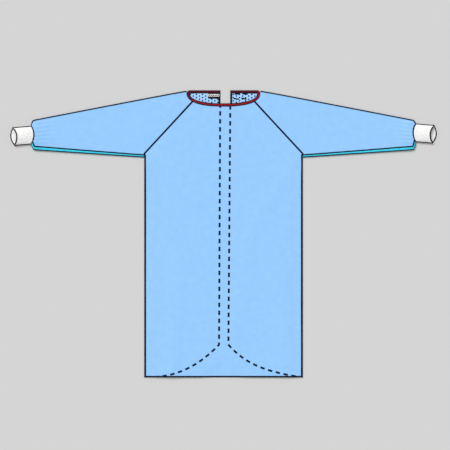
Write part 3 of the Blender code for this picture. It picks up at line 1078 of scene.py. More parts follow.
class Tube:
    """A flattened tube that lies on the surface. A kind of tube gives its sections and layers.

    A share is 0 at the top fold and 1 at the lower one.
    """

    sections: tuple[Section, ...]

    def flat_point(self, side: int, is_front: bool, share: float, station: float) -> Vector:
        """A point of one layer of the left tube, seen from above."""
        raise NotImplementedError

    def gather(self, section: Section, share: float) -> float:
        """Height of the gathers at a share of the upper layer."""
        return 0.0

    def section(self, station: float) -> Section:
        """The section at a station, between the two that stand around it."""
        for lower, upper in zip(self.sections, self.sections[1:]):
            if station <= upper.station:
                return lower.toward(upper, station)
        return self.sections[-1]

    def fold_inset(self, section: Section, share: float) -> float:
        """How far a layer's points move in from each fold."""
        top, low = (max(1 - away / section.crowding, 0.0) for away in (share, 1 - share))
        return section.edge_height / 2 * (low - top)

    def upper_point(self, side: int, share: float, station: float) -> Vector:
        """A point of the upper layer.

        Args:
            side: 1 on the left and -1 on the right.
            share: The share of the width.
            station: The station along the tube.

        Returns:
            The point.
        """
        section = self.section(station)
        spot = self.flat_point(side, True, share, station)
        height = section.edge_height + section.crown * math.sin(math.pi * share)
        return Vector((side * spot.x, spot.y + self.fold_inset(section, share),
                       height + self.gather(section, share)))

    def fold_point(self, side: int, fold: int, angle: float, station: float,
                   clear: float = 0.0) -> Vector:
        """A point on a rounded fold.

        Args:
            side: 1 on the left and -1 on the right.
            fold: 0 for the top fold and 1 for the lower one.
            angle: The angle above level.
            station: The station along the tube.
            clear: How far outside the fold the point is.

        Returns:
            The point.
        """
        radius = self.section(station).edge_height / 2
        spot = (self.flat_point(side, True, fold, station)
                + self.flat_point(side, False, fold, station)) / 2
        out = (radius + clear) * math.cos(angle)
        return Vector((side * spot.x, spot.y + (2 * fold - 1) * (radius - out),
                       radius + (radius + clear) * math.sin(angle)))

    def tube_point(self, side: int, turn: float, station: float) -> Vector:
        """A point of the tube's outer face.

        Args:
            side: 1 on the left and -1 on the right.
            turn: 0 to 1 on the upper layer, to 2 round the lower fold, to 3 on the layer
                that rests on the surface, and to 4 round the top fold.
            station: The station along the tube.

        Returns:
            The point.
        """
        if turn <= 1:
            return self.upper_point(side, turn, station)
        if not 2 <= turn <= 3:
            return self.fold_point(side, *fold_side(turn), station)
        spot = self.flat_point(side, False, 3 - turn, station)
        inset = self.fold_inset(self.section(station), 3 - turn)
        return Vector((side * spot.x, spot.y + inset, 0.0))


@dataclass
class NeckPlan:
    """The neckline's oval and the binding that runs round it."""

    half: float = 0.153
    depth: float = 0.0507
    power: float = 2.4
    corner: float = 0.0065
    binding_width: float = 0.0125
    raglan_angle: float = math.radians(33)
    front_seat: float = 0.0019
    climb: float = 0.75

    def __post_init__(self) -> None:
        """Works out what follows from the sizes and the frame."""
        self.binding_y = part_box("neck_binding")[1][1] - self.binding_width / 2
        self.seat = self.binding_width / 2 + GAP
        self.top_y = self.binding_y - self.corner

    def point(self, angle: float, outward: float = 0.0) -> Vector:
        """A point of the front neckline.

        Args:
            angle: 0 at the left shoulder and pi / 2 at the centre front.
            outward: How far outside the line the point is.

        Returns:
            The point, seen from above.
        """
        across, down = math.cos(angle), math.sin(angle)
        width = math.copysign(abs(across) ** (2 / self.power), across)
        depth = abs(down) ** (2 / self.power)
        slope_x = math.copysign(abs(width) ** (self.power - 1), across) / self.half
        slope_y = -(depth ** (self.power - 1)) / self.depth
        spot = Vector((self.half * width, self.top_y - self.depth * depth))
        return spot + Vector((slope_x, slope_y)).normalized() * outward


@dataclass(frozen=True)
class Crease:
    """One soft fold of the front, from one point to another."""

    start: Pair
    end: Pair
    half_width: float
    height: float

    def at(self, spot: Vector) -> float:
        """Its height at a point.

        Args:
            spot: The point, seen from above.

        Returns:
            The height.
        """
        run = Vector(self.end) - Vector(self.start)
        offset = spot - Vector(self.start)
        share = portion(offset.dot(run) / run.length_squared, 0.0, 1.0)
        away = (offset - run * share).length / self.half_width
        return self.height * math.exp(-away * away)


@dataclass
class BodyPlan:
    """The front and the two backs, as they lie.

    A ripple is how fast it waves across and along, its place in the noise and its height.
    """

    neck: NeckPlan
    wall: float = 0.0010
    armpit_y: float = 0.349
    tail_rise: float = 0.142
    hook_lift: float = 0.0013
    hook_lift_y: Pair = (0.568, 0.586)
    hook_lift_x: Pair = (0.125, 0.1035)
    loft: float = 0.0016
    drop_clearance: float = 0.050
    drop_length: float = 0.070
    creases: tuple[Crease, ...] = (
        Crease((-0.300, 0.330), (-0.120, 0.130), 0.034, 0.0022),
        Crease((0.310, 0.300), (0.150, 0.050), 0.036, 0.0020),
        Crease((-0.190, -0.120), (-0.230, -0.620), 0.040, 0.0026),
        Crease((0.110, -0.020), (0.060, -0.430), 0.038, 0.0018),
        Crease((0.245, -0.200), (0.280, -0.625), 0.036, 0.0024),
    )
    ripples: tuple[tuple[float, ...], ...] = ((7.0, 5.0, 3.1, 0.00050), (26.0, 14.0, 8.7, 0.00020))
    ripple_rise: float = 0.00045

    def __post_init__(self) -> None:
        """Works out what follows from the sizes and the frame."""
        low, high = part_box("front_panel")
        self.chest_half = high[0]
        self.hem_y = low[1]
        self.tail_top_y = self.hem_y + self.tail_rise
        self.front_z = self.wall + GAP
        self.back_top_y = self.neck.binding_y - self.neck.seat
        self.shoulder = Vector((self.neck.half + self.neck.seat, 0.6215))
        self.back_corner = Vector((self.shoulder.x - GAP, self.back_top_y))
        self.at_neck = {1: 0.0300, -1: 0.0142}
        self.at_tail = {1: 0.0212, -1: 0.0195}
        self.tail_powers = {1: (1.2, 4.0), -1: (2.4, 2.4)}

    def opening_edge(self, side: int, y: float) -> float:
        """Distance from the centre line to a back's free edge, at a height on the gown."""
        tail, share = self.at_tail[side], portion(y, self.tail_top_y, self.back_top_y)
        return tail + (self.at_neck[side] - tail) * share

    def tail_curve(self, side: int, x: float) -> float:
        """Height of a back's lower edge at a distance from the centre line."""
        share, powers = portion(x, self.at_tail[side], self.chest_half), self.tail_powers[side]
        return self.hem_y + self.tail_rise * sum((1 - share) ** power for power in powers) / 2

    def front_point(self, u: float, v: float) -> Vector:
        """A point of the front's outer face.

        Args:
            u: From -1 at the right side to 1 at the left.
            v: From 0 at the hem to 1 at the armpit and 2 at the neckline.

        Returns:
            The point.
        """
        plan = Vector((u * self.chest_half,
                       self.hem_y + (self.armpit_y - self.hem_y) * min(v, 1.0)))
        if v > 1:
            angle = math.pi / 2 - u * (math.pi / 2 - self.neck.raglan_angle)
            plan = plan.lerp(self.neck.point(angle, self.neck.seat), v - 1)
        seam_fade = (1 - abs(u) ** 6) * (1 - max(v - 1, 0.0) ** 3)
        below_back = self.tail_curve(1 if plan.x >= 0 else -1, abs(plan.x)) - plan.y
        layer = ease(self.front_z, 0.0, (below_back - self.drop_clearance) / self.drop_length)
        rise = self.loft * layer / self.front_z + self.ripple_rise
        rise += sum(crease.at(plan) for crease in self.creases)
        rise += sum(height * noise.noise(Vector((plan.x * across, plan.y * along, place)))
                    for across, along, place, height in self.ripples)
        return Vector((plan.x, plan.y, layer + self.wall + rise * seam_fade))

    def back_outer_edge(self, y: float) -> float:
        """Distance from the centre line to a back's side seam or raglan seam."""
        share = portion(y, self.armpit_y, self.back_corner.y)
        return self.chest_half + (self.back_corner.x - self.chest_half) * share

    def back_height(self, side: int, x: float, y: float) -> float:
        """Height of a back's inner face, where the hooks prop up the left one."""
        prop = portion(y, *self.hook_lift_y) * portion(x, *self.hook_lift_x)
        return self.wall + (self.hook_lift * prop if side > 0 else 0.0)

    def back_point(self, side: int, share: float, v: float) -> Vector:
        """A point of a back's inner face, which is its upper one.

        Args:
            side: 1 for the left back and -1 for the right.
            share: From 0 at the free edge to 1 at the side.
            v: From 0 at the lower edge to 1 at the armpit and 2 at the neck edge.

        Returns:
            The point.
        """
        if v <= 1:
            edge = self.at_tail[side]
            low = self.tail_curve(side, edge + (self.chest_half - edge) * share)
            y = low + (self.armpit_y - low) * v
        else:
            y = self.armpit_y + (self.back_top_y - self.armpit_y) * (v - 1)
        inner = self.opening_edge(side, y)
        x = inner + (self.back_outer_edge(y) - inner) * share
        return Vector((side * x, y, self.back_height(side, x, y)))

    def free_edge(self, side: int, inset: float = 0.0, steps: int = 90) -> list[Vector]:
        """The line of a back's free edge and lower edge, from the neck to the side hem.

        Args:
            side: 1 for the left back and -1 for the right.
            inset: How far inside the edge the line runs.
            steps: How many steps each of its two stretches has.

        Returns:
            The line's points, seen from above.
        """
        line = [Vector((side * (self.opening_edge(side, y) + inset), y))
                for y in even(steps, self.back_top_y, self.tail_top_y)]
        widths = even(steps, self.at_tail[side] + inset, self.chest_half - inset)[1:]
        return line + [Vector((side * x, self.tail_curve(side, x) + inset)) for x in widths]


@dataclass
class CuffPlan(Tube):
    """The flattened tube of a knitted cuff, from its seam to its mouth."""

    seam: Vector = field(default_factory=lambda: Vector((0.8360, 0.4353)))
    mouth: Vector = field(default_factory=lambda: Vector((0.9121, 0.4286)))
    half: float = 0.0403
    setback: float = 0.0112
    mouth_bow: float = 0.0142
    sections: tuple[Section, ...] = (
        Section(0.0, 0.0070, 0.0054, 0.0, 0.15),
        Section(0.2, 0.0074, 0.0070, 0.0, 0.15),
        Section(0.4, 0.0078, 0.0084, 0.0, 0.15),
        Section(0.6, 0.0080, 0.0094, 0.0, 0.15),
        Section(0.8, 0.0080, 0.0100, 0.0, 0.15),
        Section(1.0, 0.0080, 0.0104, 0.0, 0.15),
    )

    def __post_init__(self) -> None:
        """Works out what follows from the sizes."""
        self.run = (self.mouth - self.seam).normalized()
        self.rise = {1: 0.0050, -1: -0.0050}

    def flat_point(self, side: int, is_front: bool, share: float, station: float) -> Vector:
        """A point of one layer of the left cuff, seen from above.

        Args:
            side: 1 or -1, for how high the cuff sits.
            is_front: Whether it is the upper layer.
            share: The share of the width.
            station: 0 at the seam and 1 at the mouth.

        Returns:
            The point.
        """
        centre = self.seam.lerp(self.mouth, station) + Vector((0, self.rise[side]))
        across = Vector((-self.run.y * station, 1.0)).normalized()
        seam_bow = self.setback * (1 - station) if is_front else 0.0
        mouth_bow = self.mouth_bow * station * (1 if is_front else -1)
        bow = (seam_bow + mouth_bow) * math.sin(math.pi * share)
        return centre + across * self.half * (1 - 2 * share) - self.run * bow

    def outer_point(self, side: int, turn: float, station: float) -> Vector:
        """A point of the cuff's outer face."""
        return self.tube_point(side, turn, station) + Vector((side * GAP, 0, 0))


@dataclass
class SleevePlan(Tube):
    """The flattened tube of a sleeve, from station 0 at its raglan seam to 1 at the wrist.

    At station 2 it meets the cuff.
    """

    body: BodyPlan
    cuff: CuffPlan = field(default_factory=CuffPlan)
    steps: int = 32
    neck_power: float = 1.3
    gather_steps: int = 4
    gather_waves: tuple[tuple[int, float], ...] = ((1, 0.00112), (3, 0.0007))
    bulge: float = 0.0018
    wrist_top: Vector = field(default_factory=lambda: Vector((0.8224, 0.4967)))
    wrist_bottom: Vector = field(default_factory=lambda: Vector((0.8207, 0.3655)))
    wrist_rounding: float = 0.0095
    wrist_drop: float = 0.0085
    wrist_lead: float = 0.98
    ripple: float = 0.00035
    ripple_stations: Pair = (0.02, 1.9)
    sections: tuple[Section, ...] = (
        Section(0.00, 0.0028, 0.0000, 0.0, 0.02),
        Section(0.05, 0.0030, 0.0004, 0.0, 0.03),
        Section(0.14, 0.0036, 0.0008, 0.0, 0.04),
        Section(0.26, 0.0044, 0.0004, 0.0, 0.06),
        Section(0.38, 0.0048, -0.0004, 0.0, 0.07),
        Section(0.50, 0.0048, 0.0002, 0.0, 0.09),
        Section(0.62, 0.0050, -0.0004, 0.0, 0.10),
        Section(0.74, 0.0052, 0.0000, 0.0, 0.12),
        Section(0.84, 0.0056, 0.0006, 0.1, 0.13),
        Section(0.91, 0.0060, 0.0016, 0.3, 0.14),
        Section(0.96, 0.0064, 0.0030, 0.7, 0.15),
        Section(1.00, 0.0068, 0.0042, 1.0, 0.15),
        Section(1.50, 0.0070, 0.0050, 0.9, 0.15),
        Section(2.00, 0.0070, 0.0054, 0.5, 0.15),
    )

    def __post_init__(self) -> None:
        """Works out what follows from the sizes."""
        self.shoulder_share, self.back_share, self.neck_share, self.armpit_share = (
            step / self.steps for step in (1, 2, 7, 30))
        self.gathered = (2 / self.steps, 26 / self.steps)
        self.armpit = Vector((self.body.chest_half, self.body.armpit_y))
        self.underarm = Vector((self.body.chest_half, 0.3343))
        self.shift = Vector((0.0004, 0.0))

    def raglan_line(self, top: Vector, share: float, first: float) -> Vector:
        """A raglan seam from its top, at share first, to the armpit and the side seam."""
        upper = top.lerp(self.armpit, portion(share, first, self.armpit_share))
        return upper.lerp(self.underarm, portion(share, self.armpit_share, 1.0))

    def front_armhole(self, share: float) -> Vector:
        """The edge of the sleeve's front.

        Args:
            share: From 0 at the top fold to 1 at the underarm.

        Returns:
            The point there.
        """
        neck = self.body.neck
        turned = portion(share, self.shoulder_share, self.neck_share) ** self.neck_power
        top = neck.point(neck.raglan_angle * turned, neck.seat)
        top = self.body.shoulder.lerp(top, portion(share, 0.0, self.shoulder_share))
        return self.raglan_line(top, share, self.neck_share)

    def back_armhole(self, share: float) -> Vector:
        """The edge of the sleeve's back, from the top fold to the underarm."""
        top = self.body.shoulder.lerp(self.body.back_corner, portion(share, 0.0, self.back_share))
        return self.raglan_line(top, share, self.back_share)

    def flat_point(self, side: int, is_front: bool, share: float, station: float) -> Vector:
        """A point of one layer of the left sleeve, seen from above.

        Args:
            side: 1 or -1, for how high the cuff sits.
            is_front: Whether it is the upper layer.
            share: The share of the width.
            station: The station along the sleeve.

        Returns:
            The point.
        """
        bow = self.cuff.setback * math.sin(math.pi * share) if is_front else 0.0
        setback = Vector((bow, 0))
        wrist = self.wrist_top.lerp(self.wrist_bottom, share)
        if station <= 1:
            armhole = (self.front_armhole if is_front else self.back_armhole)(share)
            bulge = self.bulge * math.sin(math.pi * math.sqrt(station)) * (1 - share)
            return (armhole + self.shift).lerp(wrist - setback, station) + Vector((0, bulge))
        rounded = wrist + Vector((self.wrist_rounding, (2 * share - 1) * self.wrist_drop))
        seam = self.cuff.flat_point(side, is_front, share, 0.0) + setback
        before = self.flat_point(side, is_front, share, self.wrist_lead)
        ahead = (wrist - before - setback).normalized()
        middle = (seam - wrist) / 2
        if station <= 1.5:
            start = ahead * 2 * (rounded - wrist).length
            return hermite(wrist, rounded, start, middle, (station - 1) / 0.5) - setback
        last = (seam - rounded) * 2 - middle
        return hermite(rounded, seam, middle, last, (station - 1.5) / 0.5) - setback

    def gather(self, section: Section, share: float) -> float:
        """Height of the gathers of the upper layer.

        Args:
            section: The section there.
            share: The share of the width.

        Returns:
            The height.
        """
        if not self.gathered[0] < share < self.gathered[1]:
            return 0.0
        phase = math.tau * (share - self.gathered[0]) * self.steps / self.gather_steps
        return section.gather * sum(height * (1 - math.cos(phase * count)) / 2
                                    for count, height in self.gather_waves)

    def outer_point(self, side: int, turn: float, station: float) -> Vector:
        """A point of the sleeve's outer face, with its small waves.

        Args:
            side: 1 on the left and -1 on the right.
            turn: The turn, as tube_point has it.
            station: The station along the sleeve.

        Returns:
            The point.
        """
        point = self.tube_point(side, turn, station)
        if turn <= 1 and self.ripple_stations[0] < station < self.ripple_stations[1]:
            fade = math.sin(math.pi * turn) * min(station * 4, 1.0)
            wave = noise.noise(Vector((point.x * 22, point.y * 18, 5.3)))
            point.z += self.ripple * fade * wave
        return point


@dataclass
class HiddenLine:
    """Measures points of the front against the edges of the backs below it.

    The stitching of each side is measured from its first dash.
    """

    plan: BodyPlan
    first_dash = {1: 0.0253, -1: -0.0008}

    def __post_init__(self) -> None:
        """Lays out the stretches of both edges, with the stitching's length before each."""
        self.stretches = []
        for side in SIDES.values():
            line = self.plan.free_edge(side)
            lengths = [length + self.first_dash[side] for length in running_length(line)]
            self.stretches += zip([side] * len(line), line, line[1:], lengths)
        self.tree = KDTree(len(self.stretches))
        for index, (_, start, end, _) in enumerate(self.stretches):
            self.tree.insert(((start + end) / 2).to_3d(), index)
        self.tree.balance()

    def measure(self, _across: float, _along: float, point: Vector) -> tuple[float, float]:
        """Where a point is beside and along the nearest edge.

        Args:
            _across: The point's value across the front, which doesn't matter.
            _along: Its value along the front, which doesn't either.
            point: The point.

        Returns:
            Its distance outside the edge, and the length of the stitching up to there.
        """
        side, start, end, length = self.stretches[self.tree.find(point.xy.to_3d())[1]]
        run, offset = end - start, point.xy - start
        return side * run.normalized().cross(offset), length + offset.dot(run) / run.length


@dataclass
class FrontPanel:
    """The front, with the edges of the backs showing through it."""

    plan: BodyPlan
    wardrobe: Wardrobe
    wall: float = 0.0006
    across_steps: int = 132
    along_steps: tuple[int, int] = (196, 52)

    def build(self) -> None:
        """Builds the front, which lies on the backs."""
        mesh = cloth_mesh("gown_front", even(self.across_steps, -1, 1), stages(self.along_steps),
                          self.plan.front_point, self.across_steps,
                          marks=(ACROSS_MARK, ALONG_MARK), measure=HiddenLine(self.plan).measure)
        show_sheet(mesh, Slot.CLOTH, self.wall, "front_panel",
                   (self.wardrobe.front, self.wardrobe.inner),
                   rests_on=[f"gown_back_{name}" for name in SIDES],
                   area=flat_area(even(20, -1, 1), even(40, 0, 2), self.plan.front_point))


@dataclass
class BackPanels:
    """The two backs, with their dotted inner faces and stitched free edges."""

    plan: BodyPlan
    wardrobe: Wardrobe
    wall: float = 0.0008
    across_steps: int = 60
    along_steps: tuple[int, int] = (110, 40)
    edge_inset: float = 0.0041

    def build(self) -> None:
        """Builds both backs and sews over their free edges and lower edges."""
        for name, side in SIDES.items():
            place = partial(self.plan.back_point, side)
            mesh = cloth_mesh(f"gown_back_{name}", even(self.across_steps),
                              stages(self.along_steps), place, self.across_steps)
            show_sheet(mesh, Slot.CLOTH, self.wall, f"back_panel_{name}",
                       (self.wardrobe.inner, self.wardrobe.cloth),
                       area=flat_area(even(10), even(30, 0, 2), place))
            line = []
            for spot in self.plan.free_edge(side, self.edge_inset):
                height = self.plan.back_height(side, abs(spot.x), spot.y) - self.wall / 2
                line.append((Vector((spot.x, spot.y, height)), UP))
            self.wardrobe.sew(f"back_edge_stitches_{name}", Stitch.BACK_OVERLOCK, [line])


@dataclass
class Sleeves:
    """The two sleeves, gathered into their cuffs."""

    plan: SleevePlan
    wardrobe: Wardrobe
    wall: float = 0.0006
    upper_steps: int = 112
    lower_steps: int = 40
    fold_steps: int = 8
    along_steps: tuple[int, int] = (84, 20)
    top_angle: float = math.radians(66)
    end_station: float = 1.975
    end_lift: float = 0.0004

    def build(self) -> None:
        """Builds both sleeves, with the seam along the top fold and the one at the cuff."""
        turns = stages((self.upper_steps, self.fold_steps, self.lower_steps, self.fold_steps),
                       range(5))
        up = fold_normal(0, self.top_angle)
        for name, side in SIDES.items():
            node = f"sleeve_{name}"
            mesh = cloth_mesh(f"gown_sleeve_{name}", turns, stages(self.along_steps),
                              partial(self.plan.outer_point, side), self.upper_steps, tube=True)
            length, width, _ = box_size(node)
            area = sum(flat_area(even(16), even(16, 0, 2),
                                 partial(self.plan.flat_point, side, is_front))
                       for is_front in (True, False))
            show_sheet(mesh, Slot.CLOTH, self.wall, node,
                       (self.wardrobe.cloth, self.wardrobe.inner), (2 * width, length), area=area)
            line = [(self.plan.fold_point(side, 0, self.top_angle, station, PROUD), up)
                    for station in stages((90, 24), (0.002, 1, 1.97))]
            self.wardrobe.sew(f"sleeve_top_stitches_{name}", Stitch.TOP_SEAM, [line])
            line = [self.end_point(side, turn) for turn in stages((120, 10, 60, 10), range(5))]
            self.wardrobe.sew(f"sleeve_end_stitches_{name}", Stitch.SLEEVE_END, [line])

    def end_point(self, side: int, turn: float) -> tuple[Vector, Vector]:
        """A point of the seam between sleeve and cuff.

        Args:
            side: 1 or -1.
            turn: The turn, as tube_point has it.

        Returns:
            The point, which lies inside the cloth on the lower layer, and the direction out.
        """
        point = self.plan.outer_point(side, turn, self.end_station)
        if turn <= 1 or 2 <= turn <= 3:
            return point + UP * self.end_lift, UP if turn <= 1 else DOWN
        normal = fold_normal(*fold_side(turn))
        return point + normal * self.end_lift, normal


@dataclass
class UnderarmTapes:
    """The tape over each sleeve's lower edge."""

    plan: SleevePlan
    wardrobe: Wardrobe
    width: float = 0.0133
    end_station: float = 1.94
    wrap_end: float = math.radians(-24)
    lift: float = 0.0010 + GAP
    wall: float = 0.0005
    lower_edge_angle: float = math.radians(55)

    def point(self, side: int, share: float, station: float) -> Vector:
        """A point of the tape's outer face.

        Args:
            side: 1 or -1.
            share: 0 to 1 on the sleeve's front and 1 to 2 round its lower fold.
            station: The station along the sleeve.

        Returns:
            The point.
        """
        if share > 1:
            angle = math.pi / 2 + (self.wrap_end - math.pi / 2) * (share - 1)
            return self.plan.fold_point(side, 1, angle, station, self.lift)
        top, low = (self.plan.flat_point(side, True, end, station) for end in (0, 1))
        share = 1 - self.width / (top - low).length * (1 - share)
        return self.plan.upper_point(side, share, station) + UP * self.lift

    def build(self) -> None:
        """Builds both tapes, and sews their upper edges and along the lower folds."""
        across, ends = stages((6, 10)), (0, 1, self.end_station)
        stations = stages((110, 20), ends)
        low = 1 + (math.pi / 2 - self.lower_edge_angle) / (math.pi / 2 - self.wrap_end)
        low_up = fold_normal(1, self.lower_edge_angle)
        for name, side in SIDES.items():
            place = partial(self.point, side)
            mesh = cloth_mesh(f"underarm_tape_{name}", across, stations, place)
            length = running_length([place(0.5, value) for value in stages((60, 12), ends)])[-1]
            width = running_length([place(value, 0.5) for value in across])[-1]
            show_sheet(mesh, Slot.TAPE, self.wall, f"sleeve_tape_{name}", (self.wardrobe.tape,),
                       (width, length), rests_on=[f"gown_sleeve_{name}"])
            for edge, kind, share, up in (("upper", Stitch.TAPE_TOP, 0.0, UP),
                                          ("lower", Stitch.TAPE_EDGE, low, low_up)):
                line = [(place(share, value), up) for value in stations]
                self.wardrobe.sew(f"tape_stitches_{edge}_{name}", kind, [line], Slot.TAPE)


@dataclass
class Cuffs:
    """The two knitted cuffs. A side row of stitches is its turn and how far it leans."""

    plan: CuffPlan
    wardrobe: Wardrobe
    ribs: int = 60
    rib_depth: float = 0.0009
    wall: float = 0.0012
    along_steps: int = 26
    rib_steps: int = 6
    rim_spread: float = 0.05
    fade_ends: Pair = (0.06, 0.07)
    side_rows: tuple[Pair, ...] = ((1.18, -0.54), (3.82, 0.54))
    side_rise: float = 0.84
    side_end: float = 0.98
    tree: NodeTree = field(default_factory=rib_tree)

    def build(self) -> None:
        """Builds both cuffs, their ribs and their stitched edges."""
        length = (self.plan.mouth - self.plan.seam).length
        for name, side in SIDES.items():
            place = partial(self.plan.outer_point, side)
            turns = self.even_turns(place)
            order = {turn: index / (len(turns) - 1) for index, turn in enumerate(turns)}
            smooth = cloth_mesh(f"knit_cuff_{name}", turns, even(self.along_steps), place,
                                tube=True, marks=(TURN_MARK, FADE_MARK),
                                measure=lambda turn, reach, _: (order[turn], self.fade(reach)))
            mesh = bake_tree(smooth.name, smooth, self.tree, {
                "Rib Count": float(self.ribs), "Rib Depth": self.rib_depth,
                "Material": self.wardrobe.knit})
            girth = running_length([place(turn, 0.5) for turn in turns])[-1]
            show_sheet(mesh, Slot.KNIT, self.wall, f"cuff_{name}", (), (girth, length))
            self.edges(name, place, turns[::4])

    def fade(self, reach: float) -> float:
        """How much of the ribs' depth there is, which is none at the cuff's two ends."""
        return ease(0.0, 1.0, min(reach / self.fade_ends[0], (1 - reach) / self.fade_ends[1]))

    def even_turns(self, place: Place) -> list[float]:
        """Values of one round of the tube that lie evenly along its girth.

        Args:
            place: Gives a point of the cuff.

        Returns:
            The values, from 0 to 4.
        """
        fine = even(800, 0, 4)
        lengths = running_length([place(turn, 0.5) for turn in fine])
        turns, index = [], 0
        for target in even(self.ribs * self.rib_steps, 0, lengths[-1])[:-1]:
            while lengths[index + 1] < target:
                index += 1
            share = (target - lengths[index]) / (lengths[index + 1] - lengths[index])
            turns.append(fine[index] + (fine[index + 1] - fine[index]) * share)
        return [*turns, 4.0]

    def edges(self, name: str, place: Place, turns: Values) -> None:
        """Sews over the mouth and along the two sides of a cuff.

        Args:
            name: left or right.
            place: Gives a point of the cuff.
            turns: Values of one round.
        """
        centre = (place(0.5, 1.0) + place(2.5, 1.0)) / 2
        rim = []
        for turn in turns:
            point = place(turn, 1.0)
            _, y, z = point - centre
            outward = Vector((0, y * self.rim_spread, z)).normalized()
            rim.append((point - outward * self.wall / 2, outward))
        sides = [[(place(turn, reach), Vector((0, lean, self.side_rise)))
                  for reach in even(20, 0.0, self.side_end)] for turn, lean in self.side_rows]
        for edge, kind, lines in (("mouth", Stitch.CUFF_MOUTH, [[*rim, rim[0]]]),
                                  ("side", Stitch.CUFF_SEAM, sides)):
            self.wardrobe.sew(f"cuff_{edge}_stitches_{name}", kind, lines, Slot.KNIT,
                              self.wardrobe.grey)


@dataclass
class NeckBinding:
    """The red binding round the neck, stitched along both its edges.

    A run is 0 to 1 along the left back, to 2 round the left shoulder, to 3 along the front,
    to 4 round the right shoulder and to 5 along the right back. A row's reach is its distance
    from the binding's middle, in widths.
    """

    body: BodyPlan
    wardrobe: Wardrobe
    height: float = 0.0019
    crown: float = 0.0004
    wall: float = 0.0014
    front_rows: Pair = (1.0, 2.85)
    front_reach: float = 0.37
    back_reach: float = 0.29

    def line(self, run: float) -> tuple[Vector, Vector, float]:
        """The line that the binding follows.

        Args:
            run: The run.

        Returns:
            The centre point and the outward direction, seen from above, and the seat's height.
        """
        neck = self.body.neck
        if 2 <= run <= 3:
            angle = (run - 2) * math.pi
            point = neck.point(angle)
            return point, neck.point(angle, 1.0) - point, neck.front_seat
        side = 1 if run < 2 else -1
        step = run if side > 0 else 5 - run
        corner = Vector((side * (neck.half - neck.corner), neck.top_y))
        if step > 1:
            angle = math.pi / 2 * (2 - step)
            outward = Vector((side * math.cos(angle), math.sin(angle)))
            return corner + outward * neck.corner, outward, neck.front_seat
        free_end = Vector((side * self.body.opening_edge(side, self.body.back_top_y),
                           neck.binding_y))
        point = free_end.lerp(Vector((corner.x, neck.binding_y)), step)
        climb = (step - neck.climb) / (1 - neck.climb)
        low = self.body.hook_lift if side > 0 else 0.0
        return point, Vector((0, 1)), ease(low, neck.front_seat, climb)

    def point(self, across: float, run: float) -> Vector:
        """A point of the binding's upper face.

        Args:
            across: The distance outwards from its middle, in widths.
            run: The run.

        Returns:
            The point.
        """
        spot, outward, seat = self.line(run)
        flat = spot + outward * across * self.body.neck.binding_width
        drop = self.crown * (2 * across) ** 4 * 2
        return Vector((flat.x, flat.y, seat + self.height - drop))

    def build(self) -> None:
        """Builds the binding, and sews along both edges of its three stretches."""
        runs = stages((30, 10, 160, 10, 30), range(6))
        mesh = cloth_mesh("neck_binding_tape", even(10, -0.5, 0.5), runs, self.point)
        length = running_length([self.point(0.0, run) for run in runs])[-1]
        show_sheet(mesh, Slot.BINDING, self.wall, "neck_binding", (self.wardrobe.binding,),
                   (self.body.neck.binding_width, length))
        left, right = self.front_rows
        for name, kind, reach, first, last in (
                ("back_left", Stitch.BINDING_BACK, self.back_reach, 0.0, left),
                ("front", Stitch.BINDING_FRONT, self.front_reach, left, right),
                ("back_right", Stitch.BINDING_BACK, self.back_reach, right, 5.0)):
            lines = [[(self.point(across, run) + UP * PROUD, UP)
                      for run in runs if first <= run <= last] for across in (-reach, reach)]
            self.wardrobe.sew(f"binding_stitches_{name}", kind, lines, Slot.BINDING)


@dataclass
class BodySeams:
    """The overlocked seams of the body: both sides, the hem and the raglan seams."""

    body: BodyPlan
    sleeve: SleevePlan
    wardrobe: Wardrobe
    inset: float = 0.0045
    hem_inset: float = 0.0031
    below_armpit: float = 0.004
    raglan_z: float = 0.0028
    raglan_starts: Pair = (-0.002, 0.02)
    raglan_end: float = 0.995

    def build(self) -> None:
        """Sews all the seams."""
        for name, side in SIDES.items():
            self.side_seam(name, side)
            self.raglan_seam(name, side)
        self.hem()

    def side_seam(self, name: str, side: int) -> None:
        """Sews one side seam over the edges of front and back.

        Args:
            name: left or right.
            side: 1 or -1.
        """
        half, top_z = self.body.chest_half, self.body.front_z + self.body.wall
        heights = even(120, self.body.hem_y - PROUD, self.body.armpit_y - self.below_armpit)
        top, low, rim = ([(Vector((side * x, y, z)), up) for y in heights] for x, z, up in (
            (half - self.inset, top_z + PROUD, UP), (half - self.inset, 0.0, DOWN),
            (half, top_z / 2, Vector((side, 0, 0)))))
        self.wardrobe.sew(f"side_stitches_{name}", Stitch.SIDE_OVERLOCK, [top, low])
        self.wardrobe.sew(f"side_edge_stitches_{name}", Stitch.EDGE_OVERLOCK, [rim])

    def raglan_seam(self, name: str, side: int) -> None:
        """Sews one raglan seam of the front and of the back.

        Args:
            name: left or right.
            side: 1 or -1.
        """
        sleeve, (front, back) = self.sleeve, self.raglan_starts
        lines = []
        for edge, first, z, up in (
                (sleeve.front_armhole, sleeve.neck_share + front, self.raglan_z, UP),
                (sleeve.back_armhole, sleeve.back_share + back, 0.0, DOWN)):
            spots = [edge(share) + sleeve.shift / 2 for share in even(40, first, self.raglan_end)]
            lines.append([(Vector((side * spot.x, spot.y, z)), up) for spot in spots])
        self.wardrobe.sew(f"raglan_stitches_{name}", Stitch.SEAM_OVERLOCK, lines)

    def hem(self) -> None:
        """Sews over the front's lower edge."""
        inside = self.hem_inset / (self.body.armpit_y - self.body.hem_y)
        top, rim = [], []
        for u in even(150, -1, 1):
            top.append((self.body.front_point(u, inside) + UP * PROUD, UP))
            edge = self.body.front_point(u, 0.0)
            rim.append((edge - UP * self.body.wall / 2, Vector((0, -1, 0))))
        self.wardrobe.sew("hem_stitches", Stitch.HEM_OVERLOCK, [top])
        self.wardrobe.sew("hem_edge_stitches", Stitch.EDGE_OVERLOCK, [rim])


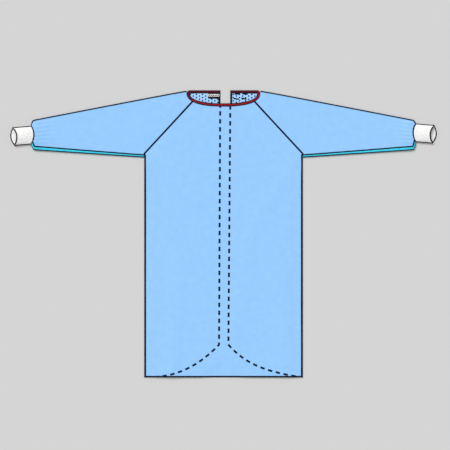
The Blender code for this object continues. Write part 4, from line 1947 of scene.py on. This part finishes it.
@dataclass
class TouchFastener:
    """The loop and hook strips and the tacks that hold the hook strip.

    A tack is its middle and how much it tilts.
    """

    body: BodyPlan
    wardrobe: Wardrobe
    tape_height: float = 0.0007
    corner: float = 0.003
    end_rows: tuple[float, ...] = (-1, -0.985, -0.96, -0.93, -0.88, -0.80)
    yarn_shift: float = 0.0026
    yarn_lift: float = 0.0006
    tacks: tuple[Triple, ...] = (
        (0.0600, 0.6092, 0.03), (0.0945, 0.6092, -0.03), (0.0560, 0.5880, -0.16),
        (0.0890, 0.5890, -0.20))
    tack_half: float = 0.0112
    curls: NodeTree = field(default_factory=curl_tree)

    def strip(self, name: str, node: str, top: float) -> None:
        """Builds one strip's woven base.

        Args:
            name: The piece's name.
            node: The solid that it stands for.
            top: The height of its upper face.
        """
        low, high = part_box(node)
        centre, half = (low + high) / 2, (high - low) / 2

        def place(across: float, along: float) -> Vector:
            """A point of the strip's upper face, with its corners rounded.

            Args:
                across: From -1 to 1 over its length.
                along: From -1 to 1 over its width.

            Returns:
                The point.
            """
            reach = max(abs(along) - (1 - self.corner / half.y), 0.0) * half.y / self.corner
            pull = self.corner * (1 - math.sqrt(max(1 - reach * reach, 0.0)))
            return Vector((centre.x + across * (half.x - pull), centre.y + along * half.y, top))

        rows = [*self.end_rows, *even(6, -0.7, 0.7), *(-row for row in self.end_rows[::-1])]
        mesh = cloth_mesh(name, even(24, -1, 1), rows, place)
        show_sheet(mesh, Slot.FASTENER, self.tape_height, node, (self.wardrobe.patch,))

    def pile(self, name: str, node: str, kind: Curl, thread: Material, z: float,
             up: Vector) -> None:
        """Stands rows of curls on a strip.

        Args:
            name: The piece's name.
            node: The strip's solid.
            kind: The kind of curls.
            thread: Their material.
            z: The height that they stand at.
            up: The direction that they stand in.
        """
        (left, low, _), (right, high, _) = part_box(node)
        count, margin = kind.value.rows, kind.value.margin
        rows = (even(count - 1, low + margin, high - margin) if count > 1 else
                [(low + high) / 2 + self.yarn_shift])
        lines = [[(Vector((x, y, z)), up) for x in even(8, left + margin, right - margin)]
                 for y in rows]
        show(bake_tree(name, line_mesh(name, lines), self.curls, {
            **row_sizes(kind), "Material": thread}), Slot.FASTENER)

    def build(self) -> None:
        """Builds both strips, their piles and the tacks."""
        loops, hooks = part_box("loop_patch"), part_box("hook_patch")
        top, yarn_z = loops[0].z + self.tape_height, loops[1].z + self.yarn_lift
        black, cream = self.wardrobe.black, self.wardrobe.cream
        self.strip("loop_tape", "loop_patch", top)
        self.strip("hook_tape", "hook_patch", hooks[1].z)
        self.pile("loop_pile", "loop_patch", Curl.LOOP_PILE, black, top, UP)
        self.pile("loop_curls", "loop_patch", Curl.LOOP_YARN, cream, yarn_z, UP)
        self.pile("hook_pile", "hook_patch", Curl.HOOK_PILE, black, hooks[0].z + GAP, DOWN)
        lines = [[(Vector((x + step, y + step * tilt, self.body.back_height(1, x, y))), UP)
                  for step in even(4, -self.tack_half, self.tack_half)]
                 for x, y, tilt in self.tacks]
        self.wardrobe.sew("hook_tacks", Stitch.BAR_TACK, lines, Slot.FASTENER)


@dataclass
class Studio:
    """The plain floor, the soft light and the camera straight above, as in the drawing."""

    floor_half: float = 15.0
    floor_z: float = -0.0009
    floor_colour: Colour = (0.60, 0.60, 0.60)
    sun_strength: float = 2.35
    sun_angle: float = math.radians(35)
    sun_turn: Triple = (math.radians(-38), math.radians(-30), 0.0)
    sky_strength: float = 0.60
    camera_spot: Triple = (0.0065, 0.0382, 5.45)
    lens: float = 100.0
    farthest: float = 100.0

    def build(self) -> None:
        """Lays the floor, hangs a broad soft lamp, lights the room and sets the camera."""
        scene, half = bpy.context.scene, self.floor_half
        mesh = bpy.data.meshes.new("studio_floor")
        corners = ((-half, -half), (half, -half), (half, half), (-half, half))
        mesh.from_pydata([(x, y, self.floor_z) for x, y in corners], [], [(0, 1, 2, 3)])
        material, _ = new_material("studio_floor", Base_Color=(*self.floor_colour, 1.0),
                                   Roughness=0.9, Specular_IOR_Level=0.0)
        mesh.materials.append(material)
        stand("studio_floor", mesh)
        lamp = bpy.data.lights.new("studio_lamp", "SUN")
        lamp.energy = self.sun_strength
        lamp.angle = self.sun_angle
        stand("studio_lamp", lamp).rotation_euler = self.sun_turn
        scene.world = bpy.data.worlds.new("studio_room")
        scene.world.use_nodes = True
        room = scene.world.node_tree.nodes["Background"].inputs
        room["Color"].default_value = (1.0, 1.0, 1.0, 1.0)
        room["Strength"].default_value = self.sky_strength
        scene.view_settings.view_transform = "Standard"
        data = bpy.data.cameras.new("camera")
        data.lens = self.lens
        data.clip_end = self.farthest
        scene.camera = stand("camera", data)
        scene.camera.location = self.camera_spot


def main() -> None:
    """Builds the studio and every piece of the gown."""
    logging.basicConfig(level=logging.INFO, format="%(message)s")
    Studio().build()
    body = BodyPlan(NeckPlan())
    sleeve = SleevePlan(body)
    wardrobe = Wardrobe()
    BackPanels(body, wardrobe).build()
    FrontPanel(body, wardrobe).build()
    Sleeves(sleeve, wardrobe).build()
    UnderarmTapes(sleeve, wardrobe).build()
    Cuffs(sleeve.cuff, wardrobe).build()
    NeckBinding(body, wardrobe).build()
    BodySeams(body, sleeve, wardrobe).build()
    TouchFastener(body, wardrobe).build()


if __name__ == "__main__":
    main()
